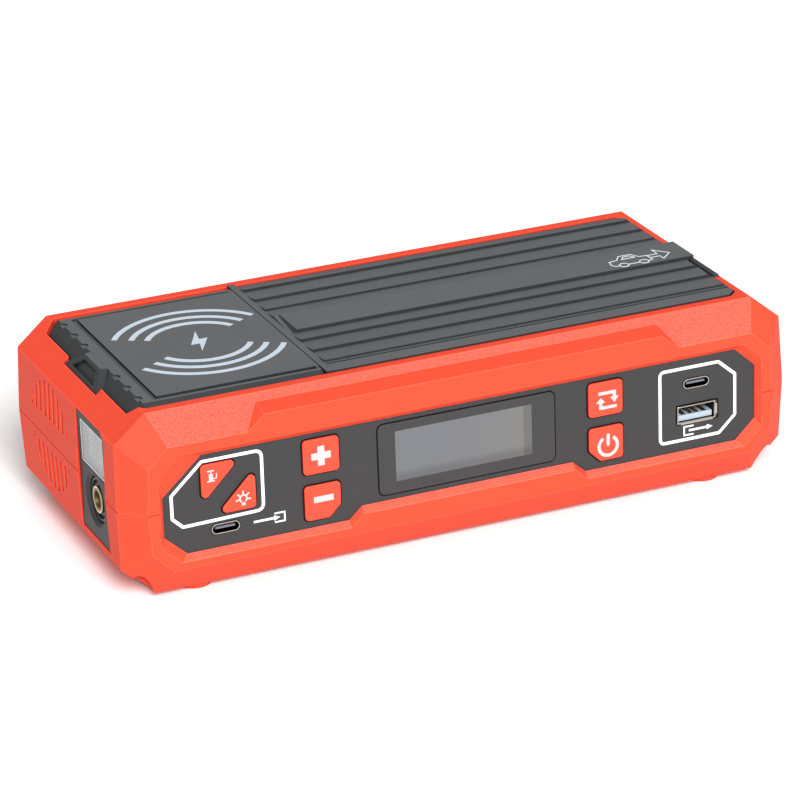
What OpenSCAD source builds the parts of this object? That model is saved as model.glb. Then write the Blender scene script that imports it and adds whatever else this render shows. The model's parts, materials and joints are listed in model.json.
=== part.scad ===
// Portable jump starter pack with a built-in tyre pump and a wireless charging pad.
// Frame: origin at the bottom centre on the feet, +X to the power socket end, -Y to the
// control panel, +Z up. All sizes are millimetres.

/* [Housing] */
// Length of the housing at the parting line
body_l = 219.2; // [210:0.2:240]
// Depth of the housing at the parting line, front to back
body_w = 104.4; // [102:0.2:120]
// Height of the upper half shell
upper_h = 29; // [28:0.5:36]
// Height of the lower half shell
lower_h = 28.2; // [27:0.5:36]
// Wall thickness of both half shells
wall = 2.2; // [1.8:0.1:2.6]
// How far each end draws in from the parting line to its ridge
end_draft = 0.7; // [0.4:0.1:1.2]
// How far each long side draws in from the parting line to its ridge
side_draft = 0.45; // [0.3:0.05:0.8]
// Length of the bevel at the top and bottom of each end
end_bevel = 10; // [9:0.5:11]
// Height of the bevel at the top of each end
end_bevel_h = 8.4; // [7.5:0.1:9]
// Depth of the bevel at the top and bottom of each long side
side_bevel = 7.4; // [7:0.1:7.8]
// Height of the bevel at the top of each long side
side_bevel_h = 8.9; // [8:0.1:9.5]
// Height of the bevel round the bottom
low_bevel_h = 9; // [8:0.25:9.5]
// Leg of the chamfer on each upright corner
corner_cut = 7.2; // [6:0.2:8]
// How fast the corner chamfer draws in, per millimetre of height
corner_draft = 0.09; // [0.06:0.01:0.12]
// Reach of each corner facet along the end ridge
facet_end_run = 7.6; // [6.5:0.1:8.5]
// Reach of each corner facet along the side ridge
facet_side_run = 13.9; // [12:0.1:15]
// Depth of the groove that hides the parting line
seam_d = 0.5; // [0.3:0.1:0.8]
// Height of that groove in each half
seam_h = 0.2; // [0.15:0.05:0.4]

/* [Feet and screws] */
// Diameter of each rubber foot
foot_d = 10; // [8:0.5:12]
// Height that the feet lift the housing
foot_h = 2; // [1.5:0.25:3]
// Distance from the end of the housing to the foot's centre
foot_from_end = 25; // [22:0.5:34]
// Distance from the long side of the housing to the foot's centre
foot_from_side = 14; // [13.8:0.2:20]
// Distance from the end of the housing to the screw's axis
screw_from_end = 7.2; // [7:0.1:7.6]
// Distance from the long side of the housing to the screw's axis
screw_from_side = 9.6; // [9.4:0.1:10]
// Diameter of the well over each housing screw
screw_well_d = 7; // [6.4:0.1:7.2]
// Depth of that well
screw_well_h = 12; // [11.5:0.5:14]
// Diameter of the housing screw's shank
screw_d = 3; // [2.5:0.1:3.5]
// Diameter of the screw's head
screw_head_d = 5.6; // [5:0.1:6.5]
// Thickness of the screw's head
screw_head_h = 2; // [1.5:0.1:2.6]
// Length of the screw's shank
screw_l = 22; // [18:0.5:26]

/* [Top cover] */
// Height of the pad and cover above the rim of the shell
cover_proud = 0.6; // [0.3:0.1:1]
// Thickness of the ribbed cover
cover_t = 2.4; // [2:0.1:3]
// Width of the pocket that takes cover and lid, front to back
pocket_w = 82; // [81:0.5:83]
// Gap between cover or lid and the pocket's wall
pocket_gap = 0.3; // [0.2:0.05:0.4]
// Distance from the fold line to the left end of the housing
fold_from_end = 69; // [66:0.5:74]
// Gap at the fold line between lid and cover
fold_gap = 0.3; // [0.2:0.05:0.4]
// Distance from the right end of the housing to the cover's end
cover_from_end = 13; // [12.5:0.25:15]
// Width of the flat band between the fold line and the ribs
band_w = 2.4; // [1.5:0.1:4]
// Pitch of the sloping ribs
rib_pitch = 9.5; // [9.2:0.05:9.7]
// Height of a rib's crest above the pad
rib_crest = 0.55; // [0.3:0.05:0.8]
// Height from a rib's trough to its crest
rib_step = 0.95; // [0.7:0.05:1.2]
// Half width of the raised centre strip
strip_half_w = 7.1; // [6:0.1:8]
// Height of the centre strip above the pad
strip_h = 0.95; // [0.7:0.05:1.2]
// Distance from the strip to the first rib line in front
first_rib = 14.3; // [13:0.1:15]
// Overhang of the centre strip past the cover's right end
strip_over = 2; // [1:0.1:2]
// Width of the flat border outside the outermost rib lines that stays level
border_w = 1.9; // [1.5:0.1:2.5]
// Fall of the cover's back border towards the rim
border_fall = 1.6; // [1:0.1:1.8]
// Leg of the cut corners at the cover's right end
cover_cut = 3; // [2:0.25:4]
// Slope of the ribs' right ends along the housing
rib_end_run = 1.8; // [1:0.1:2.5]

/* [Charging lid] */
// Thickness of the lid, top to bottom
lid_t = 4.1; // [3.8:0.1:4.6]
// Thickness of the lid's top skin
lid_skin = 1.6; // [1.2:0.1:1.8]
// Thickness of the lid's rim round the coil space
lid_rim = 4; // [3:0.25:6]
// Distance from the left end of the housing to the lid's lip
lid_from_end = 12.6; // [12.2:0.1:13.5]
// Gap between the lid's long edges and the pocket's wall
lid_gap = 0.8; // [0.5:0.1:1.1]
// Width of the sloping edge along each long side of the lid
lid_edge_run = 2.4; // [1.5:0.1:2.8]
// Fall of that sloping edge
lid_edge_fall = 1.4; // [0.8:0.1:1.6]
// How far the lid's border lies below the pad
border_drop = 0.3; // [0.2:0.05:0.5]
// How far the lip reaches out past the lid's edge
lip_run = 4.6; // [4:0.1:5]
// How far the lip's outer edge drops below the pad
lip_drop = 4.3; // [3.8:0.1:4.6]
// Half width of the lip at its upper edge
lip_top_half = 38.7; // [37:0.1:39.5]
// Half width of the lip at its outer edge
lip_end_half = 35.6; // [34:0.1:36.5]
// Thickness of the lip
lip_t = 1.4; // [1.1:0.1:1.6]
// Distance from the lid's left edge to the groove round the pad
groove_from_edge = 3.6; // [3:0.1:5]
// Width of the groove round the pad
groove_w = 1.5; // [0.8:0.1:1.8]
// Depth of that groove
groove_d = 0.9; // [0.6:0.1:1.1]
// Half depth of the raised pad, front to back
pad_half_w = 35; // [33:0.25:36]
// Diameter of the small scallops along the lip
scallop_d = 3.6; // [2.5:0.1:4]
// Depth of the scallops
scallop_h = 0.5; // [0.3:0.1:0.8]
// Half width of the finger tab at its top
tab_top_half = 6.9; // [6:0.1:8]
// Half width of the finger tab at its foot
tab_end_half = 13.8; // [12:0.1:14]
// How much wider the tab is where it leaves the lid, on each side
tab_root_flare = 0.8; // [0.3:0.1:1.2]
// How far the tab's top reaches past the lid's edge
tab_top_run = 2.3; // [2:0.1:2.6]
// How far the tab's foot reaches past the lid's edge
tab_end_run = 6.5; // [6:0.1:7]
// How far the tab's foot drops below the pad
tab_drop = 5.2; // [4.8:0.1:5.4]
// Depth of the recess in the tab's face
tab_recess = 1.1; // [0.7:0.1:1.3]
// Outer diameter of the charging coil
coil_d = 38; // [34:0.5:40]
// Distance from the fold line to the coil's centre
coil_from_fold = 24.7; // [24:0.1:25.5]
// Inner diameter of the charging coil
coil_bore = 16; // [12:0.5:20]
// Thickness of the charging coil
coil_t = 1.2; // [0.8:0.1:1.3]
// Thickness of the plate that closes the coil space
coil_plate_t = 1; // [0.8:0.1:1.1]

/* [Storage tray] */
// Length of the tray along the housing
tray_l = 44; // [36:0.5:46]
// Width of the tray, front to back
tray_w = 62; // [50:0.5:66]
// Depth of the tray below the lid
tray_h = 12.6; // [9:0.2:13]
// Thickness of the tray's wall and floor
tray_t = 1.4; // [1.2:0.1:1.8]
// Distance from the fold line to the tray's near wall
tray_from_fold = 4.5; // [4:0.25:8]
// Width of the flange that hangs the tray in the shell
tray_flange = 1.8; // [1.2:0.1:2.4]
// Thickness of that flange
tray_flange_t = 1; // [0.8:0.1:1.4]

/* [Control panel] */
// Depth of the panel's face below the long side at the parting line
panel_sink = 2.2; // [2:0.05:2.4]
// Thickness of the panel
panel_t = 1.6; // [1.4:0.1:1.8]
// Distance from each end of the housing to the panel's edge
panel_from_end = 12.5; // [12:0.25:14]
// Height of the panel's face above the parting line
panel_up = 15.15; // [14.5:0.05:15.5]
// Height of the panel's face below the parting line
panel_down = 15.05; // [14:0.05:15.5]
// Run of the small panel corners along the panel
panel_corner_x = 6.8; // [6:0.1:8]
// Rise of the small panel corners
panel_corner_z = 6.3; // [5:0.1:7]
// Run of the large corner at the top left of the panel
panel_big_x = 12.7; // [11:0.1:14]
// Rise of the large corner at the top left of the panel
panel_big_z = 11.3; // [10:0.1:12]
// Width of the sloped wall round the panel
rim_w = 2.2; // [1.8:0.1:2.4]
// Length of the raised step in the panel's lower edge
notch_l = 69.5; // [60:0.5:74]
// Height of the raised step
notch_h = 3.8; // [3:0.1:4.4]
// Run of the slope at each end of the raised step
notch_slope = 4.2; // [3.5:0.1:6]
// Width of the flange that holds the panel behind the shell
panel_flange = 1.6; // [1.2:0.1:1.8]
// Half length of the brow over the panel, at its lower edge
brow_half_l = 70.4; // [60:0.2:74]
// Rise of the brow's front face above the ridge
brow_h = 4.7; // [3.5:0.1:5]
// Rise of the shelf from the brow's front edge back to the bevel
brow_rise = 1.9; // [1:0.1:2]
// How much longer the shelf is at its back edge, on each side
brow_flare = 0.8; // [0:0.1:1.5]

/* [Display and buttons] */
// Length of the display lens
lens_l = 57.8; // [50:0.2:60]
// Height of the display lens
lens_h = 22.6; // [20:0.2:23]
// Thickness of the display lens
lens_t = 1.2; // [1:0.1:1.4]
// Height of the display's centre above the parting line
lens_up = 2; // [1.5:0.1:2.5]
// Shift of the display window towards the left end
window_shift = 0.6; // [0:0.1:1]
// Length of the visible display window
window_l = 44; // [38:0.5:46]
// Height of the visible display window
window_h = 16.7; // [14:0.1:18]
// Width of the square buttons
button_w = 11.4; // [10:0.1:12]
// Height of the square buttons
button_h = 11; // [10:0.1:11.4]
// Leg of the cut corner on the minus and power buttons
button_cut = 3.7; // [3:0.1:4.5]
// Leg of the triangular buttons
tri_leg = 12.2; // [11:0.1:12.6]
// Distance between the plus button and the pump button
tri_gap = 19.9; // [19.5:0.1:21]
// Height of the pump button's upper edge above the parting line
tri_up = 12; // [11.6:0.1:12.4]
// How far the lamp button's tip lies right of the pump button's right corner
light_shift = 4.6; // [4.4:0.1:5.2]
// How far that tip lies below the pump button's upper edge
light_drop = 4.2; // [4:0.1:4.6]
// How far the buttons stand proud of the panel
button_proud = 0.6; // [0.4:0.1:1]
// Radius of the buttons' corners
button_r = 1.2; // [0.8:0.1:1.6]
// Gap between each button and its hole
button_gap = 0.25; // [0.15:0.05:0.35]
// Width of the lip that keeps each button behind the panel
button_lip = 0.8; // [0.6:0.1:0.9]
// Travel of each button
button_travel = 0.8; // [0.6:0.05:0.9]
// Distance from the left end of the housing to the plus and minus buttons' centre
plus_from_end = 62.3; // [61:0.1:63]
// Distance from the right end of the housing to the mode and power buttons' centre
power_from_end = 63.7; // [62.5:0.1:64.5]
// Distance between the upper and lower button centres
button_row = 14.7; // [13.5:0.1:15]
// Height of the lower square buttons' centre below the parting line
button_low = 7; // [6.6:0.1:7.2]
// Thickness of the circuit board behind the buttons
board_t = 1.6; // [1.2:0.1:2]
// Height of the small switches on that board
switch_h = 2.8; // [2.4:0.1:3.2]
// Width of the square base of those switches
switch_w = 6; // [5:0.2:6.4]
// Diameter of the switches' plungers
plunger_d = 3.4; // [3:0.1:3.8]
// Diameter of the stand-offs between panel and board
standoff_d = 4.4; // [3.6:0.2:5]
// Height of the stand-offs' axes below the parting line
standoff_down = 10; // [9:0.25:10.5]

/* [Ports] */
// Width of the mouth of each small oval port
usbc_w = 8.94; // [8.9:0.01:9]
// Height of the mouth of each small oval port
usbc_h = 3.26; // [3.2:0.01:3.3]
// Length of each small oval port
usbc_l = 7.4; // [6.5:0.1:8]
// Wall of each small oval port
usbc_wall = 0.3; // [0.25:0.05:0.4]
// Outer width of the large port
usba_w = 13.1; // [13:0.05:13.4]
// Outer height of the large port
usba_h = 5.7; // [5.6:0.05:6]
// Length of the large port
usba_l = 12; // [10:0.5:14]
// Wall of the large port
usba_wall = 0.35; // [0.3:0.05:0.45]
// Gap between each port and its hole in the panel
port_gap = 0.25; // [0.15:0.05:0.4]
// Distance from the left end to the input port's centre
input_from_end = 31.6; // [31:0.1:33]
// Height of the input port's centre below the parting line
input_down = 9.2; // [8.6:0.1:9.6]
// Distance from the right end to the output ports' centre
output_from_end = 32.6; // [31:0.1:34]
// Height of the small output port's centre above the parting line
output_up = 6.8; // [6:0.1:8]
// Height of the large output port's centre below the parting line
usba_down = 3.1; // [2.8:0.1:4]

/* [Lamp and air outlet] */
// Distance from the middle of the end to the lamp plate's centre, towards the front
end_plate_y = 22.7; // [22:0.1:23.4]
// Width of the lamp plate
end_plate_w = 24.2; // [23.4:0.1:25]
// Height of the lamp plate above the parting line
end_plate_up = 20.4; // [20:0.1:20.5]
// Height of the lamp plate below the parting line
end_plate_down = 17; // [15.5:0.1:18]
// Thickness of the lamp plate
end_plate_t = 1.8; // [1.5:0.1:2]
// Depth of the lamp plate's face below the end at the parting line
end_plate_sink = 0.9; // [0.8:0.05:1.1]
// Leg of the lamp plate's cut corner, at the top in front
end_plate_cut = 2.6; // [2:0.1:3.5]
// How far the lamp plate's flange reaches past the opening, behind the wall
plate_flange = 1.2; // [0.8:0.1:1.5]
// Width of the lamp lens
lamp_w = 20; // [17:0.1:20.4]
// Height of the lamp lens
lamp_h = 13.4; // [12:0.1:13.6]
// Height of the lamp lens's centre above the parting line
lamp_up = 11.3; // [11.1:0.1:11.7]
// Thickness of the lamp lens
lamp_t = 1.4; // [1:0.1:1.6]
// Thickness of the lamp's circuit board
lamp_board_t = 1.2; // [0.8:0.1:1.6]
// Width of each light-emitting diode
led_w = 3; // [2.5:0.1:3.5]
// Half the distance between the diodes along the lamp
led_half_pitch = 4.6; // [4:0.1:6]
// Distance from the plate's centre to the air outlet's axis, towards the front
outlet_y = 0.3; // [0:0.1:0.8]
// Height of the air outlet's axis below the parting line
outlet_down = 4.7; // [4.6:0.1:5.4]
// Diameter of the round recess at the air outlet
outlet_cup_d = 14.4; // [13.8:0.1:14.8]
// Diameter of the flare at the mouth of that recess
outlet_flare_d = 17; // [16:0.1:17.2]
// Depth of the flare
outlet_flare_l = 1; // [0.6:0.1:1.2]
// Diameter of the dished face of the collar
outlet_bore_d = 12; // [11:0.1:12.4]
// Depth of that dish
outlet_dish = 0.8; // [0.5:0.1:1.2]
// Depth of the air outlet's cup
outlet_cup_l = 6; // [5.5:0.25:7]
// Outer diameter of the brass outlet
brass_d = 8.4; // [7.5:0.1:9]
// Depth of the brass outlet's mouth below the lamp plate's face
brass_sink = 0.7; // [0.5:0.1:1]
// How far the brass outlet's stem reaches behind the cup
brass_stem = 8; // [6:0.5:9]
// Thickness of the nut behind the cup
nut_t = 1.6; // [1.2:0.1:2.4]
// Bore of the brass outlet
brass_bore = 5.4; // [5:0.05:6]
// Depth of that bore
brass_l = 5; // [4:0.25:6]
// Radius of the round field of cooling slots
vent_r = 17.3; // [15:0.1:18]
// Distance from the middle of the end to the slots' centre, towards the back
vent_y = 15; // [13:0.5:18]
// Height of the slots' centre above the parting line
vent_up = 1.8; // [0:0.1:3]
// Number of cooling slots
vent_n = 9; // [5:1:9]
// Pitch of the cooling slots
vent_pitch = 4.1; // [3.6:0.1:4.2]
// Width of each cooling slot
vent_w = 1.9; // [1.2:0.1:2.2]
// Height of the plain band across the slots
vent_band = 10; // [6:0.5:12]

/* [Power socket] */
// Width of the rubber flap over the power socket
flap_w = 31; // [28:0.5:34]
// Distance from the middle of the end to the flap's centre, towards the front
flap_y = 8.4; // [6:0.1:10]
// Thickness of the flap
flap_t = 2; // [1.6:0.1:2.4]
// Distance from the parting line up to the flap's lower edge
flap_up = 5; // [3:0.5:8]
// Gap round the flap
flap_gap = 0.4; // [0.3:0.05:0.6]
// Width of the socket's mouth
socket_w = 20; // [18:0.25:22]
// Height of the socket's mouth
socket_h = 9; // [8:0.25:10]
// Depth of the socket's mouth
socket_l = 10; // [8:0.25:12]
// Wall round the socket's mouth
socket_wall = 2; // [1.5:0.1:2.5]
// Height of the socket's axis above the parting line
socket_up = 11; // [10:0.25:12]
// Diameter of each power pin
pin_d = 3.6; // [3:0.1:4]
// Distance between the power pins
pin_pitch = 11; // [10:0.25:12]
// How far the pins stand in the mouth
pin_l = 8; // [6:0.25:9]

/* [Pump] */
// Diameter of the pump's motor
motor_d = 26; // [22:0.5:28]
// Length of the pump's motor
motor_l = 28; // [22:0.5:28.5]
// Distance from the left end to the pump's crank axis
pump_from_end = 36; // [34:0.5:40]
// Height of the crankcase above the floor
crank_h = 34; // [30:0.5:36]
// Length of the crankcase along the housing
crank_l = 28; // [26:0.5:32]
// Thickness of the crankcase, front to back
crank_w = 14; // [12:0.5:16]
// Diameter of the pump's cylinder
cylinder_d = 18; // [16:0.5:20]
// Diameter of the cooling fins
fin_d = 24; // [22:0.5:26]
// Number of cooling fins
fin_n = 5; // [3:1:6]
// Thickness of each fin
fin_t = 1.2; // [0.8:0.1:1.5]
// Length of the cylinder
cylinder_l = 16; // [14:0.5:18]
// How far the cylinder head reaches past the hose's axis
head_past = 4.5; // [4.2:0.1:5]
// Outer diameter of the air hose
hose_d = 7.6; // [7.4:0.1:8.5]
// Bore of the air hose
hose_bore = 3; // [2.5:0.1:3.5]

/* [Battery and boards] */
// Length of each battery cell
cell_l = 108; // [96:1:112]
// Width of each battery cell
cell_w = 58; // [50:1:60]
// Thickness of each battery cell
cell_t = 8.4; // [7:0.1:9]
// Number of battery cells
cell_n = 3; // [2:1:3]
// Distance from the right end of the housing to the battery's centre
battery_from_end = 79.6; // [77:0.2:81]
// Thickness of the battery frame
frame_t = 1.6; // [1.2:0.1:2.2]
// Length of the power board
main_l = 104; // [90:1:110]
// Width of the power board
main_w = 62; // [50:1:66]
// Gap between battery frame and power board
main_gap = 3; // [2:0.25:5]
// Height of the relay on the power board
relay_h = 9; // [7:0.5:11]
// Length of the relay
relay_l = 22; // [16:0.5:26]
// Width of the relay
relay_w = 16; // [12:0.5:20]
// Width of the coil beside the relay
choke_w = 24; // [16:0.5:26]
// Height of that coil
choke_h = 6; // [4:0.5:8]

/* [Hidden] */
$fn = 48;

eps = 0.01;
// Overshoot of a cut past the surface that it starts from.
over = 1;
// Size of the cubes that trim a corner.
far = 60;
// Clearance between parts that are set into each other.
seat = 0.3;
hl = body_l / 2;
hw = body_w / 2;
z_bot = foot_h;
z_part = z_bot + lower_h;
z_top = z_part + upper_h;
z_pad = z_top + cover_proud;
ridge_x = hl - end_draft;
ridge_y = hw - side_draft;
top_x = ridge_x - end_bevel;
top_y = ridge_y - side_bevel;
z_floor = z_bot + wall;
// Tops of the pockets that the cover and the lid lie in.
z_cover_seat = z_pad - cover_t;
z_lid_seat = z_pad - lid_t - tray_flange_t - seat;
fold_x = fold_from_end - hl;
lid_x = lid_from_end - hl;
cover_x = hl - cover_from_end;
pocket_half = pocket_w / 2;
cover_half = pocket_half - pocket_gap;
cover_x0 = fold_x + fold_gap / 2;

// ---- small geometry helpers ----
function unit(v) = v / norm(v);
function edge_out(a, b) = unit([b.y - a.y, a.x - b.x]);
// Outline moved inwards by d; points run anticlockwise.
function inset_pts(p, d) = [
    for (i = [0 : len(p) - 1])
        let (
            n1 = edge_out(p[(i + len(p) - 1) % len(p)], p[i]),
            n2 = edge_out(p[i], p[(i + 1) % len(p)])
        )
        p[i] - d * (n1 + n2) / (1 + n1 * n2)
];
// Outline with every corner rounded to radius r in n steps.
function round_pts(p, r, n = 4) = [
    for (i = [0 : len(p) - 1])
        let (
            v = p[i],
            u1 = unit(p[(i + len(p) - 1) % len(p)] - v),
            u2 = unit(p[(i + 1) % len(p)] - v),
            h = acos(u1 * u2) / 2,
            c = v + unit(u1 + u2) * r / sin(h),
            e1 = v + u1 * r / tan(h) - c,
            e2 = v + u2 * r / tan(h) - c
        )
        for (t = [0 : n]) c + r * unit(e1 * (n - t) + e2 * t)
];
function rect_pts(cx, cz, w, h) = [
    [cx - w / 2, cz - h / 2], [cx + w / 2, cz - h / 2],
    [cx + w / 2, cz + h / 2], [cx - w / 2, cz + h / 2]
];

// An (x, z) outline from y0 back to y1.
module along_y(points, y0, y1) {
    translate([0, y1, 0]) rotate([90, 0, 0]) linear_extrude(y1 - y0) polygon(points);
}
// A (y, z) outline from x0 to x1.
module along_x(points, x0, x1) {
    translate([x0, 0, 0]) rotate([90, 0, 90]) linear_extrude(x1 - x0) polygon(points);
}
module block(x0, x1, y0, y1, z0, z1) {
    translate([x0, y0, z0]) cube([x1 - x0, y1 - y0, z1 - z0]);
}
module rod_x(r, x0, x1, y, z) {
    translate([x0, y, z]) rotate([0, 90, 0]) cylinder(r = r, h = x1 - x0);
}
module rod_y(r, y0, y1, x, z) {
    translate([x, y1, z]) rotate([90, 0, 0]) cylinder(r = r, h = y1 - y0);
}
module rod_z(r, z0, z1, x, y) {
    translate([x, y, z0]) cylinder(r = r, h = z1 - z0);
}
module taper_x(r0, r1, x0, x1, y, z) {
    translate([x0, y, z]) rotate([0, 90, 0]) cylinder(r1 = r0, r2 = r1, h = x1 - x0);
}
// An (x, y) outline from z0 up to z1.
module along_z(points, z0, z1) {
    translate([0, 0, z0]) linear_extrude(z1 - z0) polygon(points);
}
// Everything on the outer side of a plane, as far as a large cube reaches.
module beyond(point, normal, size) {
    turn = acos(normal.z / norm(normal));
    translate(point) rotate(a = turn, v = cross([0, 0, 1], normal))
        translate([-size / 2, -size / 2, 0]) cube(size);
}

// ---- outer form of the housing ----
function end_profile() = [
    [-top_x, z_bot], [top_x, z_bot], [ridge_x, z_bot + low_bevel_h], [hl, z_part],
    [ridge_x, z_top - end_bevel_h], [top_x, z_top],
    [-top_x, z_top], [-ridge_x, z_top - end_bevel_h], [-hl, z_part], [-ridge_x, z_bot + low_bevel_h]
];
function side_profile() = [
    [-top_y, z_bot], [top_y, z_bot], [ridge_y, z_bot + low_bevel_h], [hw, z_part],
    [ridge_y, z_top - side_bevel_h], [top_y, z_top],
    [-top_y, z_top], [-ridge_y, z_top - side_bevel_h], [-hw, z_part], [-ridge_y, z_bot + low_bevel_h]
];
// The two planes that cut one corner: the upright chamfer and the facet at the rim.
module corner_planes(up, d) {
    rim_z = up ? z_top : z_bot;
    end_z = up ? z_top - end_bevel_h : z_bot + low_bevel_h;
    side_z = up ? z_top - side_bevel_h : z_bot + low_bevel_h;
    chamfer = [1, 1, up ? corner_draft : -corner_draft];
    beyond([hl - corner_cut, hw, z_part] - d * unit(chamfer), chamfer, far);
    rim = [top_x, top_y, rim_z];
    on_end = [ridge_x, ridge_y - facet_end_run, end_z];
    on_side = [ridge_x - facet_side_run, ridge_y, side_z];
    facet = up ? cross(on_end - rim, on_side - rim) : cross(on_side - rim, on_end - rim);
    outward = facet.x > 0 ? facet : -facet;
    beyond(rim - d * unit(outward), outward, far);
}
module housing_form(d, up) {
    difference() {
        intersection() {
            along_y(inset_pts(end_profile(), d), -hw - far, hw + far);
            along_x(inset_pts(side_profile(), d), -hl - far, hl + far);
        }
        for (mx = [0, 1], my = [0, 1])
            mirror([mx, 0, 0]) mirror([0, my, 0]) corner_planes(up, d);
    }
}
module half_outside(up) {
    intersection() {
        housing_form(0, up);
        if (up) block(-hl - far, hl + far, -hw - far, hw + far, z_part, z_top + far);
        else block(-hl - far, hl + far, -hw - far, hw + far, z_bot - far, z_part);
    }
}
// A shallow groove round the edge of each half, where the two meet.
module seam_cut(up) {
    z0 = up ? z_part - eps : z_part - seam_h;
    z1 = up ? z_part + seam_h : z_part + eps;
    difference() {
        block(-hl - 1, hl + 1, -hw - 1, hw + 1, z0, z1);
        block(-hl + seam_d, hl - seam_d, -hw + seam_d, hw - seam_d, z0 - 1, z1 + 1);
    }
}
module screw_places() {
    for (mx = [0, 1], my = [0, 1])
        mirror([mx, 0, 0]) mirror([0, my, 0])
            translate([hl - screw_from_end, hw - screw_from_side, 0]) children();
}

// Diameter at the root of the screw's thread.
screw_core = screw_d - 0.6;

// ---- control panel outline ----
panel_y = panel_sink - hw;
panel_back = panel_y + panel_t;
panel_half = hl - panel_from_end;
panel_z0 = z_part - panel_down;
panel_z1 = z_part + panel_up;
notch_half = notch_l / 2;
function panel_outline() = [
    [-panel_half, panel_z0 + panel_corner_z],
    [-panel_half + panel_corner_x, panel_z0],
    [-notch_half - notch_slope, panel_z0],
    [-notch_half, panel_z0 + notch_h],
    [notch_half, panel_z0 + notch_h],
    [notch_half + notch_slope, panel_z0],
    [panel_half - panel_corner_x, panel_z0],
    [panel_half, panel_z0 + panel_corner_z],
    [panel_half, panel_z1 - panel_corner_z],
    [panel_half - panel_corner_x, panel_z1],
    [-panel_half + panel_big_x, panel_z1],
    [-panel_half, panel_z1 - panel_big_z]
];
function panel_hull() = [
    for (i = [0, 1, 6, 7, 8, 9, 10, 11]) panel_outline()[i]
];
function rim_outline() = let (
    x = panel_half + rim_w * 0.75, z0 = panel_z0 - rim_w, z1 = panel_z1 + rim_w,
    cx = panel_corner_x - 1, cz = panel_corner_z - 1
) [
    [-x, z0 + cz], [-x + cx, z0], [x - cx, z0], [x, z0 + cz],
    [x, z1 - cz], [x - cx, z1], [-x + cx, z1], [-x, z1 - cz]
];
// The sloped mouth that is cut through the front wall, less the step in its lower edge.
module panel_mouth() {
    difference() {
        hull() {
            along_y(panel_hull(), panel_y, panel_y + eps);
            along_y(rim_outline(), -hw - 2, -hw);
        }
        hull() {
            along_y([
                [-notch_half - notch_slope, panel_z0 - 1], [notch_half + notch_slope, panel_z0 - 1],
                [notch_half + notch_slope, panel_z0], [notch_half, panel_z0 + notch_h],
                [-notch_half, panel_z0 + notch_h], [-notch_half - notch_slope, panel_z0]
            ], panel_y - eps, panel_y + 1);
            along_y([
                [-notch_half - notch_slope, panel_z0 - rim_w - 1],
                [notch_half + notch_slope, panel_z0 - rim_w - 1],
                [notch_half + notch_slope, panel_z0 - rim_w], [notch_half, panel_z0 + notch_h - rim_w],
                [-notch_half, panel_z0 + notch_h - rim_w], [-notch_half - notch_slope, panel_z0 - rim_w]
            ], -hw - eps, -hw);
        }
    }
}
// The flat seat behind the front wall that takes the panel's flange.
module panel_seat() {
    along_y(inset_pts(panel_outline(), -panel_flange - seat), panel_y, panel_back + wall);
}

// ---- lamp plate outline ----
plate_x = end_plate_sink - hl;
plate_y = -end_plate_y;
outlet_axis_y = plate_y - outlet_y;
outlet_z = z_part - outlet_down;
lamp_z = z_part + lamp_up;
function end_plate_outline() = let (
    y0 = plate_y - end_plate_w / 2, y1 = plate_y + end_plate_w / 2,
    z0 = z_part - end_plate_down, z1 = z_part + end_plate_up
) [
    [y0, z0], [y1, z0], [y1, z1], [y0 + end_plate_cut, z1], [y0, z1 - end_plate_cut]
];
// Opening for the lamp plate, with a seat for its flange behind the wall.
module end_plate_cut_out() {
    along_x(inset_pts(end_plate_outline(), -button_gap), -hl - 1, -hl + wall + 2);
}
module vent_slots() {
    vent_z = z_part + vent_up;
    intersection() {
        rod_x(vent_r, -hl - 1, -hl + wall + 2, vent_y, vent_z);
        for (i = [0 : vent_n - 1], side = [-1, 1]) {
            y = vent_y + (i - (vent_n - 1) / 2) * vent_pitch;
            z = vent_z + side * (vent_r + vent_band) / 2;
            translate([-hl, y, z]) cube([far, vent_w, vent_r], center = true);
        }
    }
}

// ---- flap and socket at the right end ----
flap_cy = -flap_y;
socket_z = z_part + socket_up;
flap_hinge_x = cover_x + pocket_gap + strip_over;
flap_hinge_z = z_top;
flap_face = ridge_x - 0.2;
socket_face = flap_face - flap_t - seat;
flap_low = z_part + flap_up;
flap_knee = z_top - end_bevel_h;
flap_slope = (flap_hinge_z - flap_knee) / (flap_face - flap_hinge_x);
// Inner side of the flap, moved inwards by d.
function flap_inner(d) = let (
    drop = (flap_t + d) * norm([1, flap_slope]), x0 = flap_hinge_x - d, x1 = flap_face - flap_t - d
) [
    [x0, flap_hinge_z - flap_slope * (x0 - flap_hinge_x) - drop],
    [x1, flap_hinge_z - flap_slope * (x1 - flap_hinge_x) - drop],
    [x1, flap_low - d]
];
function flap_profile() = concat(
    [[flap_hinge_x, flap_hinge_z]], flap_inner(0), [[flap_face, flap_low], [flap_face, flap_knee]]
);
// The room for the flap, open to the outside.
function flap_room(d) = concat(
    [[flap_hinge_x - d, z_top + far]], flap_inner(d), [[hl + over, flap_low - d], [hl + over, z_top + far]]
);
flap_y0 = flap_cy - flap_w / 2;
flap_y1 = flap_cy + flap_w / 2;
anchor_x0 = cover_x + pocket_gap;
anchor_x1 = flap_hinge_x - seat;
anchor_y1 = -strip_half_w - pocket_gap;

// ---- pockets in the top of the upper shell ----
// A solid through level lines; each point is its x, its height and its half width.
module spread(points) {
    hull() for (p = points) translate([p.x, 0, p.y]) cube([eps, 2 * p.z, eps], center = true);
}
lip_x1 = lid_x - lip_run;
lip_z0 = z_pad - border_drop;
lip_z1 = z_pad - lip_drop;
lip_drop_t = lip_t * norm([lip_run, lip_drop]) / lip_run;
tab_x0 = lid_x - tab_top_run;
tab_x1 = lid_x - tab_end_run;
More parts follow.
